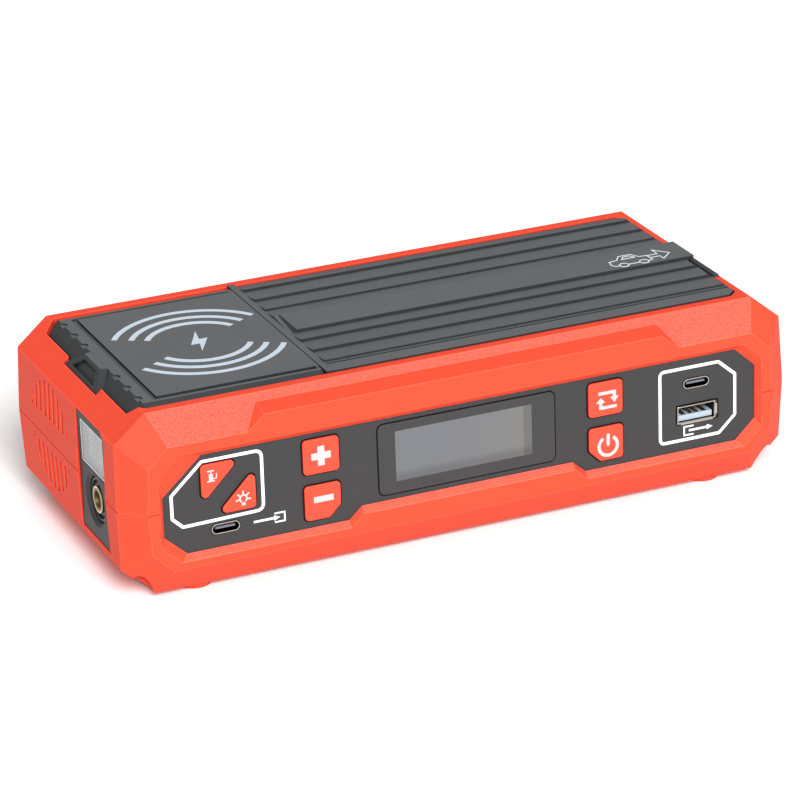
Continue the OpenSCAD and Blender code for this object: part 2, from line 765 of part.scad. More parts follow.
// Height of the tab's blunt foot.
tab_foot_h = 0.5;
tab_z1 = z_pad - tab_drop;
function cover_plan(grow) = let (half = cover_half + grow, x = cover_x + grow) [
    [fold_x, -half], [x - cover_cut, -half], [x, -half + cover_cut],
    [x, half - cover_cut], [x - cover_cut, half], [fold_x, half]
];
module top_pockets() {
    // Ribbed cover.
    along_z(cover_plan(pocket_gap), z_cover_seat, z_pad + over);
    // Overhang of the centre strip.
    block(cover_x - over, cover_x + strip_over + pocket_gap, -strip_half_w - pocket_gap,
        strip_half_w + pocket_gap, z_top - seat, z_pad + over);
    // Lid.
    block(lid_x - seat, fold_x + eps, -pocket_half, pocket_half, z_lid_seat, z_pad + over);
    // Lip.
    spread([
        [lid_x, z_pad + over, pocket_half], [lid_x, z_lid_seat, pocket_half],
        [lip_x1 - seat, lip_z1 - lip_drop_t - seat, lip_end_half + lid_gap],
        [lip_x1 - seat, z_pad + over, lip_end_half + lid_gap]
    ]);
    // Finger tab.
    tab_half = tab_end_half + tab_root_flare + seat;
    spread([
        [lid_x, z_pad + over, tab_half], [lid_x, tab_z1 - seat, tab_half],
        [tab_x1 - seat, tab_z1 - seat, tab_half], [tab_x1 - seat, z_pad + over, tab_half]
    ]);
}

// ---- shells ----
module lower_shell() color("#f4492c") {
    difference() {
        union() {
            difference() {
                half_outside(false);
                intersection() {
                    housing_form(wall, false);
                    block(-hl, hl, -hw, hw, z_bot, z_part + 1);
                }
            }
            // Screw pillars, kept inside the outer form.
            intersection() {
                screw_places() rod_z(screw_well_d / 2 + wall, z_bot, z_part, 0, 0);
                half_outside(false);
            }
            lower_ribs();
        }
        panel_mouth();
        panel_seat();
        end_plate_cut_out();
        vent_slots();
        seam_cut(false);
        screw_places() {
            rod_z(screw_well_d / 2, z_bot - over, z_bot + screw_well_h, 0, 0);
            rod_z(screw_d / 2 + seat, z_bot, z_part + over, 0, 0);
        }
        foot_places() rod_z(foot_d / 2 + seat, z_bot - over, z_bot + foot_seat, 0, 0);
    }
}
module foot_places() {
    for (mx = [0, 1], my = [0, 1])
        mirror([mx, 0, 0]) mirror([0, my, 0])
            translate([hl - foot_from_end, hw - foot_from_side, 0]) children();
}
// Ribs and cradles on the floor that carry the battery and the pump.
rib_h = 2;
rib_t = 2;
// Depth that each foot is let into the floor.
foot_seat = 0.5;
battery_x = hl - battery_from_end;
battery_z = z_floor + rib_h;
pump_x = pump_from_end - hl;
crank_y0 = 2;
crank_y1 = crank_y0 + crank_w;
motor_z = z_floor + rib_h + 1 + motor_d / 2;
module lower_ribs() {
    for (x = [-cell_l / 2, -cell_l / 6, cell_l / 6, cell_l / 2 - rib_t])
        block(battery_x + x, battery_x + x + rib_t, -cell_w / 2, cell_w / 2, z_floor - eps, battery_z);
    // Cradles under the motor.
    difference() {
        for (y = [crank_y1 + motor_l / 4, crank_y1 + motor_l * 3 / 4])
            block(pump_x - motor_d / 2, pump_x + motor_d / 2, y, y + rib_t,
                z_floor - eps, motor_z - motor_d / 4);
        rod_y(motor_d / 2, crank_y1, crank_y1 + motor_l + 1, pump_x, motor_z);
    }
    // Pads under the crankcase.
    for (x = [-crank_l / 2 + 2, crank_l / 2 - 6])
        block(pump_x + x, pump_x + x + 4, crank_y0 + 1, crank_y1 - 1, z_floor - eps, z_floor + rib_h);
    // Pads that the power socket's housing stands on.
    for (side = [-1, 1])
        block(socket_face - socket_l - socket_wall, socket_face - socket_l, flap_cy + side * socket_w / 3 - 1,
            flap_cy + side * socket_w / 3 + 1, z_floor - eps, z_part);
}
module upper_shell() color("#f4492c") {
    difference() {
        union() {
            difference() {
                half_outside(true);
                difference() {
                    intersection() {
                        housing_form(wall, true);
                        block(-hl, hl, -hw, hw, z_part - 1, z_cover_seat - wall);
                    }
                    // Thicker roof under the lid.
                    block(-hl, fold_x + wall, -hw, hw, z_lid_seat - wall, z_top);
                }
            }
            intersection() {
                screw_places() rod_z(screw_d / 2 + wall, z_part, z_cover_seat - wall + eps, 0, 0);
                half_outside(true);
            }
            brow();
            // Wall behind the flap.
            intersection() {
                along_y(flap_room(flap_gap + wall), flap_y0 - flap_gap - wall, flap_y1 + flap_gap + wall);
                half_outside(true);
            }
        }
        top_pockets();
        // Room for the flap's anchor, open to the flap.
        block(cover_x, flap_hinge_x, flap_y0 - flap_gap, anchor_y1 + eps, z_cover_seat, z_pad + over);
        // Opening that the storage tray hangs in.
        block(tray_x0 - seat, tray_x1 + seat, -tray_w / 2 - seat, tray_w / 2 + seat, z_part, z_pad);
        panel_mouth();
        panel_seat();
        end_plate_cut_out();
        vent_slots();
        seam_cut(true);
        flap_pocket();
        screw_places() rod_z(screw_core / 2, z_part - over, z_bot + screw_well_h + screw_l, 0, 0);
    }
}
// Wedge over the panel that carries the front face up into the bevel.
module brow() {
    z0 = z_top - side_bevel_h;
    inner = brow_half_l - brow_h - 1;
    shelf = inner + brow_flare;
    shelf_z = z0 + brow_h + brow_rise;
    back_y = -ridge_y + side_bevel * (brow_h + brow_rise) / side_bevel_h;
    hull() {
        block(-brow_half_l, brow_half_l, -ridge_y, -ridge_y + eps, z0, z0 + eps);
        block(-inner, inner, -ridge_y, -ridge_y + eps, z0 + brow_h - eps, z0 + brow_h);
        block(-shelf, shelf, back_y, back_y + eps, shelf_z - eps, shelf_z);
        block(-shelf, shelf, back_y, back_y + eps, z0, z0 + eps);
    }
}
module flap_pocket() {
    along_y(flap_room(flap_gap), flap_y0 - flap_gap, flap_y1 + flap_gap);
    // Opening for the socket behind the flap.
    block(socket_face - wall * 3, hl + 1, flap_cy - socket_w / 2 - socket_wall - seat,
        flap_cy + socket_w / 2 + socket_wall + seat, socket_z - socket_h / 2 - socket_wall - seat,
        socket_z + socket_h / 2 + socket_wall + seat);
}
module rubber_feet() color("#2b2b2d") {
    foot_places() rod_z(foot_d / 2, 0, z_bot + foot_seat, 0, 0);
}
module housing_screws() color("#b9bcc0") {
    screw_places() {
        rod_z(screw_head_d / 2, z_bot + screw_well_h - screw_head_h, z_bot + screw_well_h, 0, 0);
        rod_z(screw_core / 2, z_bot + screw_well_h - eps, z_bot + screw_well_h + screw_l, 0, 0);
    }
}

// ---- top cover ----
// Heights of the cover's crests, troughs and plain front border.
crest_z = z_pad + rib_crest;
trough_z = crest_z - rib_step;
outer_rib = first_rib + 2 * rib_pitch;
// Width and depth of the thin groove outside the outermost rib lines.
line_w = 0.7;
line_d = 0.5;
front_border_z = z_pad - 0.1;
// One rib in section: crest at its front line, falling towards the next line behind it.
function rib_at(y, y_next) = [[y, crest_z], [y_next, crest_z - (y_next - y) * rib_step / rib_pitch]];
function rib_section() = concat(
    [[-cover_half, z_cover_seat], [-cover_half, front_border_z],
        [-outer_rib - border_w, front_border_z], [-outer_rib - border_w, front_border_z - line_d],
        [-outer_rib - border_w + line_w, front_border_z - line_d],
        [-outer_rib - border_w + line_w, front_border_z], [-outer_rib, front_border_z]],
    rib_at(-outer_rib, -first_rib - rib_pitch),
    rib_at(-first_rib - rib_pitch, -first_rib),
    rib_at(-first_rib, -strip_half_w),
    rib_at(strip_half_w, first_rib),
    rib_at(first_rib, first_rib + rib_pitch),
    rib_at(first_rib + rib_pitch, outer_rib),
    [[outer_rib, crest_z], [outer_rib + border_w - line_w, crest_z],
        [outer_rib + border_w - line_w, crest_z - line_d], [outer_rib + border_w, crest_z - line_d],
        [cover_half, crest_z - border_fall], [cover_half, z_cover_seat]]
);
module top_cover() color("#5d6062") {
    rib_x0 = fold_x + band_w;
    strip_x0 = rib_x0 + 1;
    intersection() {
        union() {
            block(cover_x0, rib_x0 + eps, -cover_half, cover_half, z_cover_seat, z_pad);
            along_x(rib_section(), rib_x0, cover_x);
        }
        // Cut corners and sloping rib ends at the right.
        along_z(cover_plan(0), z_cover_seat, crest_z + over);
        along_y([
            [cover_x0, z_cover_seat], [cover_x, z_cover_seat], [cover_x, trough_z],
            [cover_x - rib_end_run, crest_z + eps], [cover_x0, crest_z + eps]
        ], -cover_half - over, cover_half + over);
    }
    // Raised centre strip with a sloping left end.
    along_y([
        [strip_x0, z_pad - cover_t / 2], [cover_x, z_pad - cover_t / 2],
        [cover_x, z_top], [cover_x + strip_over, z_top],
        [cover_x + strip_over, z_pad + strip_h],
        [strip_x0 + strip_h, z_pad + strip_h], [strip_x0, z_pad]
    ], -strip_half_w, strip_half_w);
}

// ---- charging lid ----
lid_x1 = fold_x - fold_gap / 2;
z_lid_low = z_pad - lid_t;
pad_x0 = lid_x + groove_from_edge + groove_w;
lid_half = pocket_half - lid_gap;
coil_x = fold_x - coil_from_fold;
// Width of the plain strip along the fold that closes the groove.
fold_strip = 1.2;
// Step that the coil's plate rests on, and the gap round the plate.
plate_ledge = 1;
plate_gap = 0.1;
// Lid in section across the housing: level pad, lower border, sloping edges.
function lid_section() = let (
    edge = lid_half - lid_edge_run, border_z = z_pad - border_drop, edge_z = border_z - lid_edge_fall,
    mid = pad_half_w + groove_w / 2
) [
    [-lid_half, z_lid_low], [lid_half, z_lid_low], [lid_half, edge_z], [edge, border_z], [mid, border_z],
    [mid, z_pad], [-mid, z_pad], [-mid, border_z], [-edge, border_z], [-lid_half, edge_z]
];
module pad_lid() color("#5d6062") {
    difference() {
        union() {
            difference() {
                intersection() {
                    along_x(lid_section(), lid_x, lid_x1);
                    // The border at the left is lower too.
                    along_y([
                        [lid_x, z_lid_low], [lid_x1, z_lid_low], [lid_x1, z_pad],
                        [pad_x0 - groove_w / 2, z_pad], [pad_x0 - groove_w / 2, z_pad - border_drop],
                        [lid_x, z_pad - border_drop]
                    ], -lid_half - over, lid_half + over);
                }
                block(lid_x + lid_rim, lid_x1 - lid_rim, -lid_half + lid_rim, lid_half - lid_rim,
                    z_lid_low - over, z_pad - lid_skin);
            }
            // Lip.
            spread([
                [lid_x, lip_z0, lip_top_half], [lip_x1, lip_z1, lip_end_half],
                [lip_x1, lip_z1 - lip_drop_t, lip_end_half], [lid_x, lip_z0 - lip_drop_t, lip_top_half]
            ]);
            // Finger tab.
            spread([
                [lid_x, z_pad, tab_top_half + tab_root_flare], [tab_x0, z_pad, tab_top_half],
                [tab_x1, tab_z1 + tab_foot_h, tab_end_half], [tab_x1, tab_z1, tab_end_half],
                [lip_x1, tab_z1, tab_end_half + tab_root_flare],
                [lip_x1, lip_z1, tab_end_half + tab_root_flare]
            ]);
        }
        // Groove round the pad.
        block(pad_x0 - groove_w, pad_x0, -pad_half_w - groove_w, pad_half_w + groove_w,
            z_pad - groove_d, z_pad + over);
        for (side = [-1, 1])
            block(pad_x0 - eps, lid_x1 - fold_strip, side * (pad_half_w + groove_w / 2) - groove_w / 2,
                side * (pad_half_w + groove_w / 2) + groove_w / 2, z_pad - groove_d, z_pad + over);
        // Scallops along the lip.
        for (side = [-1, 1], i = [0 : 2])
            rod_z(scallop_d / 2, lip_z0 - scallop_h, z_pad + over, lid_x - scallop_d / 8,
                side * (first_rib + i * rib_pitch));
        // Recess in the finger tab's sloping face.
        tab_recess_cut();
        // Seat for the coil's plate.
        block(lid_x + lid_rim - plate_ledge, lid_x1 - lid_rim + plate_ledge,
            -lid_half + lid_rim - plate_ledge, lid_half - lid_rim + plate_ledge,
            z_lid_low - over, z_lid_low + coil_plate_t);
    }
}
module tab_recess_cut() {
    // Frame left round the recess, at its wide lower and narrow upper end.
    frame_low = 4.6;
    frame_high = 1.4;
    // Share of the face's length that the recess takes.
    share = 0.6;
    slope = [tab_top_run - tab_end_run, tab_foot_h - tab_drop];
    length = norm(slope);
    angle = atan2(-slope.y, -slope.x);
    mid = [tab_x0, z_pad] + slope / 2;
    translate([mid.x, 0, mid.y]) rotate([0, 180 - angle, 0])
        linear_extrude(2 * tab_recess, center = true)
            polygon([
                [length * share / 2, frame_low - tab_end_half],
                [length * share / 2, tab_end_half - frame_low],
                [-length * share / 2, tab_top_half - frame_high],
                [-length * share / 2, frame_high - tab_top_half]
            ]);
}
module charging_coil() color("#b8703a") {
    difference() {
        rod_z(coil_d / 2, z_pad - lid_skin - coil_t, z_pad - lid_skin, coil_x, 0);
        rod_z(coil_bore / 2, z_lid_low, z_pad, coil_x, 0);
    }
}
module coil_plate() color("#3c3e40") {
    inset = lid_rim - plate_ledge + plate_gap;
    block(lid_x + inset, lid_x1 - inset, -lid_half + inset, lid_half - inset,
        z_lid_low, z_lid_low + coil_plate_t);
}

// ---- storage tray ----
tray_x1 = fold_x - tray_from_fold;
tray_x0 = tray_x1 - tray_l;
tray_z0 = z_lid_seat - tray_h + tray_flange_t;
module storage_tray() color("#303234") {
    difference() {
        union() {
            block(tray_x0, tray_x1, -tray_w / 2, tray_w / 2, tray_z0, z_lid_seat + tray_flange_t);
            block(tray_x0 - tray_flange, tray_x1 + tray_flange,
                -tray_w / 2 - tray_flange, tray_w / 2 + tray_flange, z_lid_seat, z_lid_seat + tray_flange_t);
        }
        block(tray_x0 + tray_t, tray_x1 - tray_t, -tray_w / 2 + tray_t, tray_w / 2 - tray_t,
            tray_z0 + tray_t, z_pad);
    }
}

// ---- panel, display, buttons ----
lens_z = z_part + lens_up;
window_x = -window_shift;
// The lens's corner radius, its gap in the panel and its height above the panel.
lens_r = 1.8;
lens_gap = 0.2;
lens_proud = 0.2;
// How far the display reaches past its window on each side.
window_lap = 0.7;
plus_x = plus_from_end - hl;
power_x = hl - power_from_end;
row_low = z_part - button_low;
row_high = row_low + button_row;
function plus_outline() = rect_pts(plus_x, row_high, button_w, button_h);
function mode_outline() = rect_pts(power_x, row_high, button_w, button_h);
function minus_outline() = let (p = rect_pts(plus_x, row_low, button_w, button_h)) [
    p[0], [p[1].x - button_cut, p[1].y], [p[1].x, p[1].y + button_cut], p[2], p[3]
];
function power_outline() = let (p = rect_pts(power_x, row_low, button_w, button_h)) [
    [p[0].x + button_cut, p[0].y], p[1], p[2], p[3], [p[0].x, p[0].y + button_cut]
];
tri_x = plus_x - button_w / 2 - tri_gap;
tri_z = z_part + tri_up;
function pump_outline() = [
    [tri_x - tri_leg, tri_z], [tri_x - tri_leg, tri_z - tri_leg], [tri_x, tri_z]
];
light_x = tri_x + light_shift;
light_z = tri_z - light_drop;
function light_outline() = let (c = [light_x, light_z]) [
    [c.x, c.y], [c.x - tri_leg, c.y - tri_leg], [c.x, c.y - tri_leg]
];
input_x = input_from_end - hl;
input_z = z_part - input_down;
output_x = hl - output_from_end;
output_z = z_part + output_up;
usba_z = z_part - usba_down;
switch_gap = 0.2;
// Height of the switches' plungers.
plunger_h = 1;
// Thickness of the buttons' lips.
button_lip_t = 1;
board_y = panel_back + seat + button_lip_t + button_travel + switch_gap + switch_h;
function oval(cx, cz, w, h) = round_pts(rect_pts(cx, cz, w, h), h / 2 - eps, 5);

module panel_hole(outline) {
    along_y(outline, panel_y - over, panel_back + over);
}
module front_panel() color("#4d4e4f") {
    difference() {
        along_y(inset_pts(panel_outline(), -panel_flange), panel_y, panel_back);
        // Bed of the display lens, and the window behind it.
        along_y(
            round_pts(rect_pts(0, lens_z, lens_l + 2 * lens_gap, lens_h + 2 * lens_gap), lens_r + lens_gap),
            panel_y - over, panel_y + lens_t);
        along_y(
            rect_pts(window_x, lens_z, window_l + 2 * window_lap + seat, window_h + 2 * window_lap + seat),
            panel_y, panel_back + over);
        for (p = [
            plus_outline(), minus_outline(), mode_outline(), power_outline(), pump_outline(), light_outline()
        ])
            panel_hole(round_pts(inset_pts(p, -button_gap), button_r + button_gap));
        panel_hole(oval(input_x, input_z, usbc_w + 2 * port_gap, usbc_h + 2 * port_gap));
        panel_hole(oval(output_x, output_z, usbc_w + 2 * port_gap, usbc_h + 2 * port_gap));
        panel_hole(rect_pts(output_x, usba_z, usba_w + 2 * port_gap, usba_h + 2 * port_gap));
    }
    // Stand-offs that carry the board.
    outer_x = board_half - standoff_d / 2;
    for (x = [-outer_x, plus_x + button_w, power_x - button_w, outer_x])
        rod_y(standoff_d / 2, panel_back - eps, board_y, x, z_part - standoff_down);
}
module display_lens() color("#3a3c3e") {
    along_y(round_pts(rect_pts(0, lens_z, lens_l, lens_h), lens_r), panel_y - lens_proud, panel_y + lens_t);
}
module display_module() color("#9aa0a0") {
    along_y(rect_pts(window_x, lens_z, window_l + 2 * window_lap, window_h + 2 * window_lap),
        panel_y + lens_t, board_y);
}
module button(outline) {
    lip_y = panel_back + seat;
    along_y(round_pts(outline, button_r), panel_y - button_proud, lip_y + eps);
    along_y(round_pts(inset_pts(outline, -button_gap - button_lip), button_r), lip_y, lip_y + button_lip_t);
}
module button_pump() color("#e8452c") button(pump_outline());
module button_light() color("#e8452c") button(light_outline());
module button_plus() color("#e8452c") button(plus_outline());
module button_minus() color("#e8452c") button(minus_outline());
module button_mode() color("#e8452c") button(mode_outline());
module button_power() color("#e8452c") button(power_outline());
board_half = panel_half - panel_corner_x;
// Distance from the panel's upper and lower edge to the board's, and the gap round the ports.
board_margin = 1.8;
notch_gap = 0.4;
module button_board() color("#2e6b3f") {
    difference() {
        block(-board_half, board_half, board_y, board_y + board_t,
            panel_z0 + board_margin, panel_z1 - board_margin);
        // Notches that the ports pass through.
        for (p = [[output_x, usba_z, usba_w, usba_h], [input_x, input_z, usbc_w, usbc_h],
            [output_x, output_z, usbc_w, usbc_h]])
            along_y(rect_pts(p[0], p[1], p[2] + 2 * notch_gap, p[3] + 2 * notch_gap),
                board_y - over, board_y + board_t + over);
    }
}
// Each switch behind a triangular button sits under the triangle's broad corner.
near = tri_leg * 0.28;
switch_spots = [
    [tri_x - tri_leg + near, tri_z - near], [light_x - near, light_z - tri_leg + near],
    [plus_x, row_high], [plus_x, row_low], [power_x, row_high], [power_x, row_low]
];
module button_switches() color("#1d1e20") {
    for (p = switch_spots) {
        along_y(rect_pts(p.x, p.y, switch_w, switch_w), board_y - switch_h + plunger_h, board_y);
        rod_y(plunger_d / 2, board_y - switch_h, board_y - switch_h + plunger_h + eps, p.x, p.y);
    }
}

// ---- ports ----
// How far the ports stand out of the panel, and the thickness of their closed ends.
port_proud = 0.1;
port_floor = 1;
module oval_port(x, z) {
    y0 = panel_y - port_proud;
    difference() {
        along_y(oval(x, z, usbc_w, usbc_h), y0, y0 + usbc_l);
        along_y(oval(x, z, usbc_w - 2 * usbc_wall, usbc_h - 2 * usbc_wall),
            y0 - over, y0 + usbc_l - port_floor);
    }
    // Thin tongue, set back from the mouth.
    along_y(rect_pts(x, z, usbc_w * 0.75, usbc_h / 5), y0 + port_floor, y0 + usbc_l - port_floor + eps);
}
module usb_c_input() color("#b9bcc0") oval_port(input_x, input_z);
module usb_c_output() color("#b9bcc0") oval_port(output_x, output_z);
module usb_a_output() color("#c4c8cc") {
    y0 = panel_y - port_proud;
    difference() {
        along_y(rect_pts(output_x, usba_z, usba_w, usba_h), y0, y0 + usba_l);
        along_y(rect_pts(output_x, usba_z, usba_w - 2 * usba_wall, usba_h - 2 * usba_wall),
            y0 - over, y0 + usba_l - port_floor);
    }
}
module usb_a_tongue() color("#f2f2f0") {
    // The tongue fills the upper part of the port, set back from the mouth.
    tongue_t = 1.8;
    along_y(rect_pts(output_x, usba_z + usba_h / 2 - usba_wall - tongue_t * 0.56,
        usba_w - 2 * usba_wall - 2 * seat, tongue_t),
        panel_y + port_floor, panel_y - port_proud + usba_l - port_floor);
}

// ---- lamp, air outlet ----
lamp_board_x = -hl + wall + end_draft + 1.3;
lamp_air = 0.15;
cup_x1 = plate_x + outlet_cup_l;
// Wall of the cup, and width of the ledge that carries the lens.
cup_wall = 0.7;
lens_ledge = 1;
module end_plate() color("#54585a") {
    difference() {
        union() {
            along_x(end_plate_outline(), plate_x, plate_x + end_plate_t);
            // Flange behind the wall, kept under the roof.
            intersection() {
                along_x(inset_pts(end_plate_outline(), -button_gap - plate_flange),
                    lamp_board_x - plate_flange, lamp_board_x);
                block(-hl, 0, -hw, hw, z_part - end_plate_down, z_part + end_plate_up - wall - 1);
            }
            along_x(inset_pts(end_plate_outline(), 1), plate_x, lamp_board_x);
            rod_x(outlet_cup_d / 2 + cup_wall, plate_x + eps, cup_x1 + nut_t, outlet_axis_y, outlet_z);
        }
        // Lamp opening with a bed for the lens.
        along_x(rect_pts(plate_y, lamp_z, lamp_w + 2 * lamp_air, lamp_h + 2 * lamp_air),
            plate_x - over, plate_x + lamp_t + 0.2);
        along_x(rect_pts(plate_y, lamp_z, lamp_w - 2 * lens_ledge, lamp_h - 2 * lens_ledge),
            plate_x, plate_x + far);
        // Air outlet's cup with its flared mouth.
        taper_x(outlet_flare_d / 2 + eps, outlet_cup_d / 2, plate_x - eps, plate_x + outlet_flare_l,
            outlet_axis_y, outlet_z);
        rod_x(outlet_cup_d / 2, plate_x, cup_x1, outlet_axis_y, outlet_z);
        rod_x(brass_d / 2, plate_x, plate_x + far, outlet_axis_y, outlet_z);
    }
}
module lamp_lens() color("#dfe6ea") {
    along_x(rect_pts(plate_y, lamp_z, lamp_w, lamp_h), plate_x + 0.2, plate_x + 0.2 + lamp_t);
}
module lamp_board() color("#e9ebe8") {
    along_x(rect_pts(plate_y, lamp_z, lamp_w, lamp_h), lamp_board_x, lamp_board_x + lamp_board_t);
}
module lamp_leds() color("#f3e9a8") {
    // Two rows, a little above and below the board's middle.
    for (dy = [-led_half_pitch, led_half_pitch], dz = [-led_w * 0.65, led_w])
        along_x(rect_pts(plate_y + dy, lamp_z + dz, led_w, led_w), lamp_board_x - led_w * 0.3, lamp_board_x);
}
brass_x0 = plate_x + brass_sink;
brass_x1 = cup_x1 + brass_stem;
// Radius of the stem that the hose is pushed on.
stem_r = brass_d / 2 - 1.2;
// Width of the raised ring round the collar and of the one round the brass.
ring_w = 0.8;
module outlet_collar() color("#2c2e30") {
    face_x = plate_x + outlet_flare_l + 0.2;
    difference() {
        union() {
            rod_x(outlet_cup_d / 2, face_x + outlet_dish, cup_x1, outlet_axis_y, outlet_z);
            rod_x(outlet_bore_d / 2 + ring_w, face_x, cup_x1, outlet_axis_y, outlet_z);
        }
        // Dished face with a low ring round the brass.
        difference() {
            rod_x(outlet_bore_d / 2, plate_x, face_x + outlet_dish, outlet_axis_y, outlet_z);
            rod_x(brass_d / 2 + ring_w, face_x + outlet_dish / 2, cup_x1, outlet_axis_y, outlet_z);
        }
        rod_x(brass_d / 2, plate_x, cup_x1 + over, outlet_axis_y, outlet_z);
    }
}
module outlet_fitting() color("#c9a14a") {
    difference() {
        union() {
            rod_x(brass_d / 2, brass_x0, cup_x1 + nut_t, outlet_axis_y, outlet_z);
            rod_x(stem_r, cup_x1 + nut_t - eps, brass_x1, outlet_axis_y, outlet_z);
            rod_x(brass_d / 2 + cup_wall * 2, cup_x1 + nut_t, cup_x1 + 2 * nut_t, outlet_axis_y, outlet_z);
        }
        rod_x(brass_bore / 2, brass_x0 - over, brass_x0 + brass_l, outlet_axis_y, outlet_z);
        rod_x(hose_bore / 4, brass_x0, brass_x1 + over, outlet_axis_y, outlet_z);
    }
}

// ---- pump ----
head_y1 = crank_y0 - cylinder_l;
cylinder_z = outlet_z;
head_half = fin_d / 2;
hose_x1 = pump_x - head_half - 1;
// Length of the hose that grips the outlet's stem.
hose_grip = 4;
module air_hose() color("#232426") {
    difference() {
        rod_x(hose_d / 2, brass_x1 - hose_grip, hose_x1, outlet_axis_y, outlet_z);
        rod_x(stem_r, brass_x1 - hose_grip - over, brass_x1 + eps, outlet_axis_y, outlet_z);
        rod_x(hose_bore / 2, brass_x1 - hose_grip, hose_x1 + over, outlet_axis_y, outlet_z);
    }
}
module pump_head() color("#9b9fa3") {
    difference() {
        union() {
            along_y(rect_pts(pump_x, cylinder_z, fin_d, fin_d), outlet_axis_y - head_past, head_y1);
            rod_x(hose_d / 2 + 1, hose_x1, pump_x - head_half + 1, outlet_axis_y, outlet_z);
        }
        rod_x(hose_bore / 2, hose_x1 - 1, pump_x, outlet_axis_y, outlet_z);
    }
}
module pump_cylinder() color("#a9adb1") {
    rod_y(cylinder_d / 2, head_y1, crank_y0, pump_x, cylinder_z);
    for (i = [0 : fin_n - 1])
        let (y = head_y1 + (i + 0.5) * cylinder_l / fin_n)
        rod_y(fin_d / 2, y - fin_t / 2, y + fin_t / 2, pump_x, cylinder_z);
}
// Radius of the crankcase's corners, and length of the motor's bearing boss.
crank_r = 4;
boss_l = 2;
module pump_crankcase() color("#8d9195") {
    along_y(round_pts(rect_pts(pump_x, z_floor + rib_h + crank_h / 2, crank_l, crank_h), crank_r),
        crank_y0, crank_y1);
}
module pump_motor() color("#6f7478") {
    rod_y(motor_d / 2, crank_y1, crank_y1 + motor_l - boss_l, pump_x, motor_z);
    rod_y(motor_d / 4, crank_y1 + motor_l - boss_l - eps, crank_y1 + motor_l, pump_x, motor_z);
}

// ---- battery and boards ----
stack_h = cell_n * cell_t;
main_z = battery_z + stack_h + frame_t + main_gap;
// Length of each post under the power board.
post_l = 4;
module battery_frame() color("#3a3c40") {
    in_x = cell_l / 2 + seat;
    side_y = cell_w / 2 + seat;
    top_z = battery_z + stack_h + frame_t;
    difference() {
        block(battery_x - in_x - frame_t, battery_x + in_x + frame_t,
            -side_y - frame_t, side_y + frame_t, battery_z, top_z);
        block(battery_x - in_x, battery_x + in_x, -side_y, side_y, battery_z + frame_t, top_z + over);
    }
    // Posts on the frame's long walls that carry the power board.
    in_y = min(main_w / 2 - 2 * frame_t, side_y);
    out_y = max(main_w / 2, side_y + frame_t);
    for (sx = [-1, 1], sy = [0, 1])
        mirror([0, sy, 0])
            translate([battery_x + sx * (in_x + frame_t - post_l / 2) - post_l / 2, in_y, top_z - eps])
                cube([post_l, out_y - in_y, main_gap + eps]);
}
module battery_cells() color("#7d8fb3") {
    for (i = [0 : cell_n - 1])
        block(battery_x - cell_l / 2, battery_x + cell_l / 2, -cell_w / 2, cell_w / 2,
            battery_z + frame_t + i * cell_t, battery_z + frame_t + (i + 1) * cell_t - 0.1);
}
module main_board() color("#2e6b3f") {
    x1 = battery_x + cell_l / 2 + frame_t;
    block(x1 - main_l, x1, -main_w / 2, main_w / 2, main_z, main_z + board_t);
}
module power_relay() color("#202124") {
    // The relay lies behind and to the right of the coil.
    block(battery_x + relay_l / 3, battery_x + relay_l * 4 / 3, relay_w / 2, relay_w * 3 / 2,
        main_z + board_t, main_z + board_t + relay_h);
    block(battery_x - choke_w, battery_x - choke_w / 6, -choke_w, 0,
        main_z + board_t, main_z + board_t + choke_h);
}

// ---- power socket ----
module socket_housing() color("#2e5fa8") {
    x0 = socket_face - socket_l - socket_wall;
    difference() {
        along_x(rect_pts(flap_cy, socket_z, socket_w + 2 * socket_wall, socket_h + 2 * socket_wall),
            x0, socket_face);
        along_x(rect_pts(flap_cy, socket_z, socket_w, socket_h), x0 + socket_wall, socket_face + over);
        for (side = [-1, 1])
            rod_x(pin_d / 2, x0 - over, socket_face, flap_cy + side * pin_pitch / 2, socket_z);
    }
}
// Length of the pins behind the housing.
pin_tail = 2;
module socket_pins() color("#c9a14a") {
    x0 = socket_face - socket_l - socket_wall;
    for (side = [-1, 1])
        rod_x(pin_d / 2, x0 - pin_tail, x0 + socket_wall + pin_l, flap_cy + side * pin_pitch / 2, socket_z);
}
module socket_flap() color("#3c3e40") {
    along_y(flap_profile(), flap_y0, flap_y1);
}
// Fixed bar at the end of the cover that holds the flap's upper edge.
module flap_anchor() color("#2b2c2e") {
    block(anchor_x0, anchor_x1, flap_y0, anchor_y1, z_cover_seat, z_pad);
}

lower_shell();
upper_shell();
rubber_feet();
housing_screws();
top_cover();
pad_lid();
charging_coil();
coil_plate();
storage_tray();
front_panel();
display_lens();
display_module();
button_pump();
button_light();
button_plus();
button_minus();
button_mode();
button_power();
button_board();
button_switches();
usb_c_input();
usb_c_output();
usb_a_output();
usb_a_tongue();
end_plate();
lamp_lens();
lamp_board();
lamp_leds();
outlet_collar();
outlet_fitting();
air_hose();
pump_motor();
pump_crankcase();
pump_cylinder();
pump_head();
battery_frame();
battery_cells();
main_board();
power_relay();
socket_housing();
socket_pins();
socket_flap();
flap_anchor();
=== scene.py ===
"""Looks of the jump starter pack: materials, printed marks, display, lamp and port details.

Blender works in metres. Plain numbers in the tables and drawings below are millimetres in the
CAD frame, and MM turns them into metres.
"""
import json
import math

import bmesh
import bpy
from mathutils import Matrix, Vector


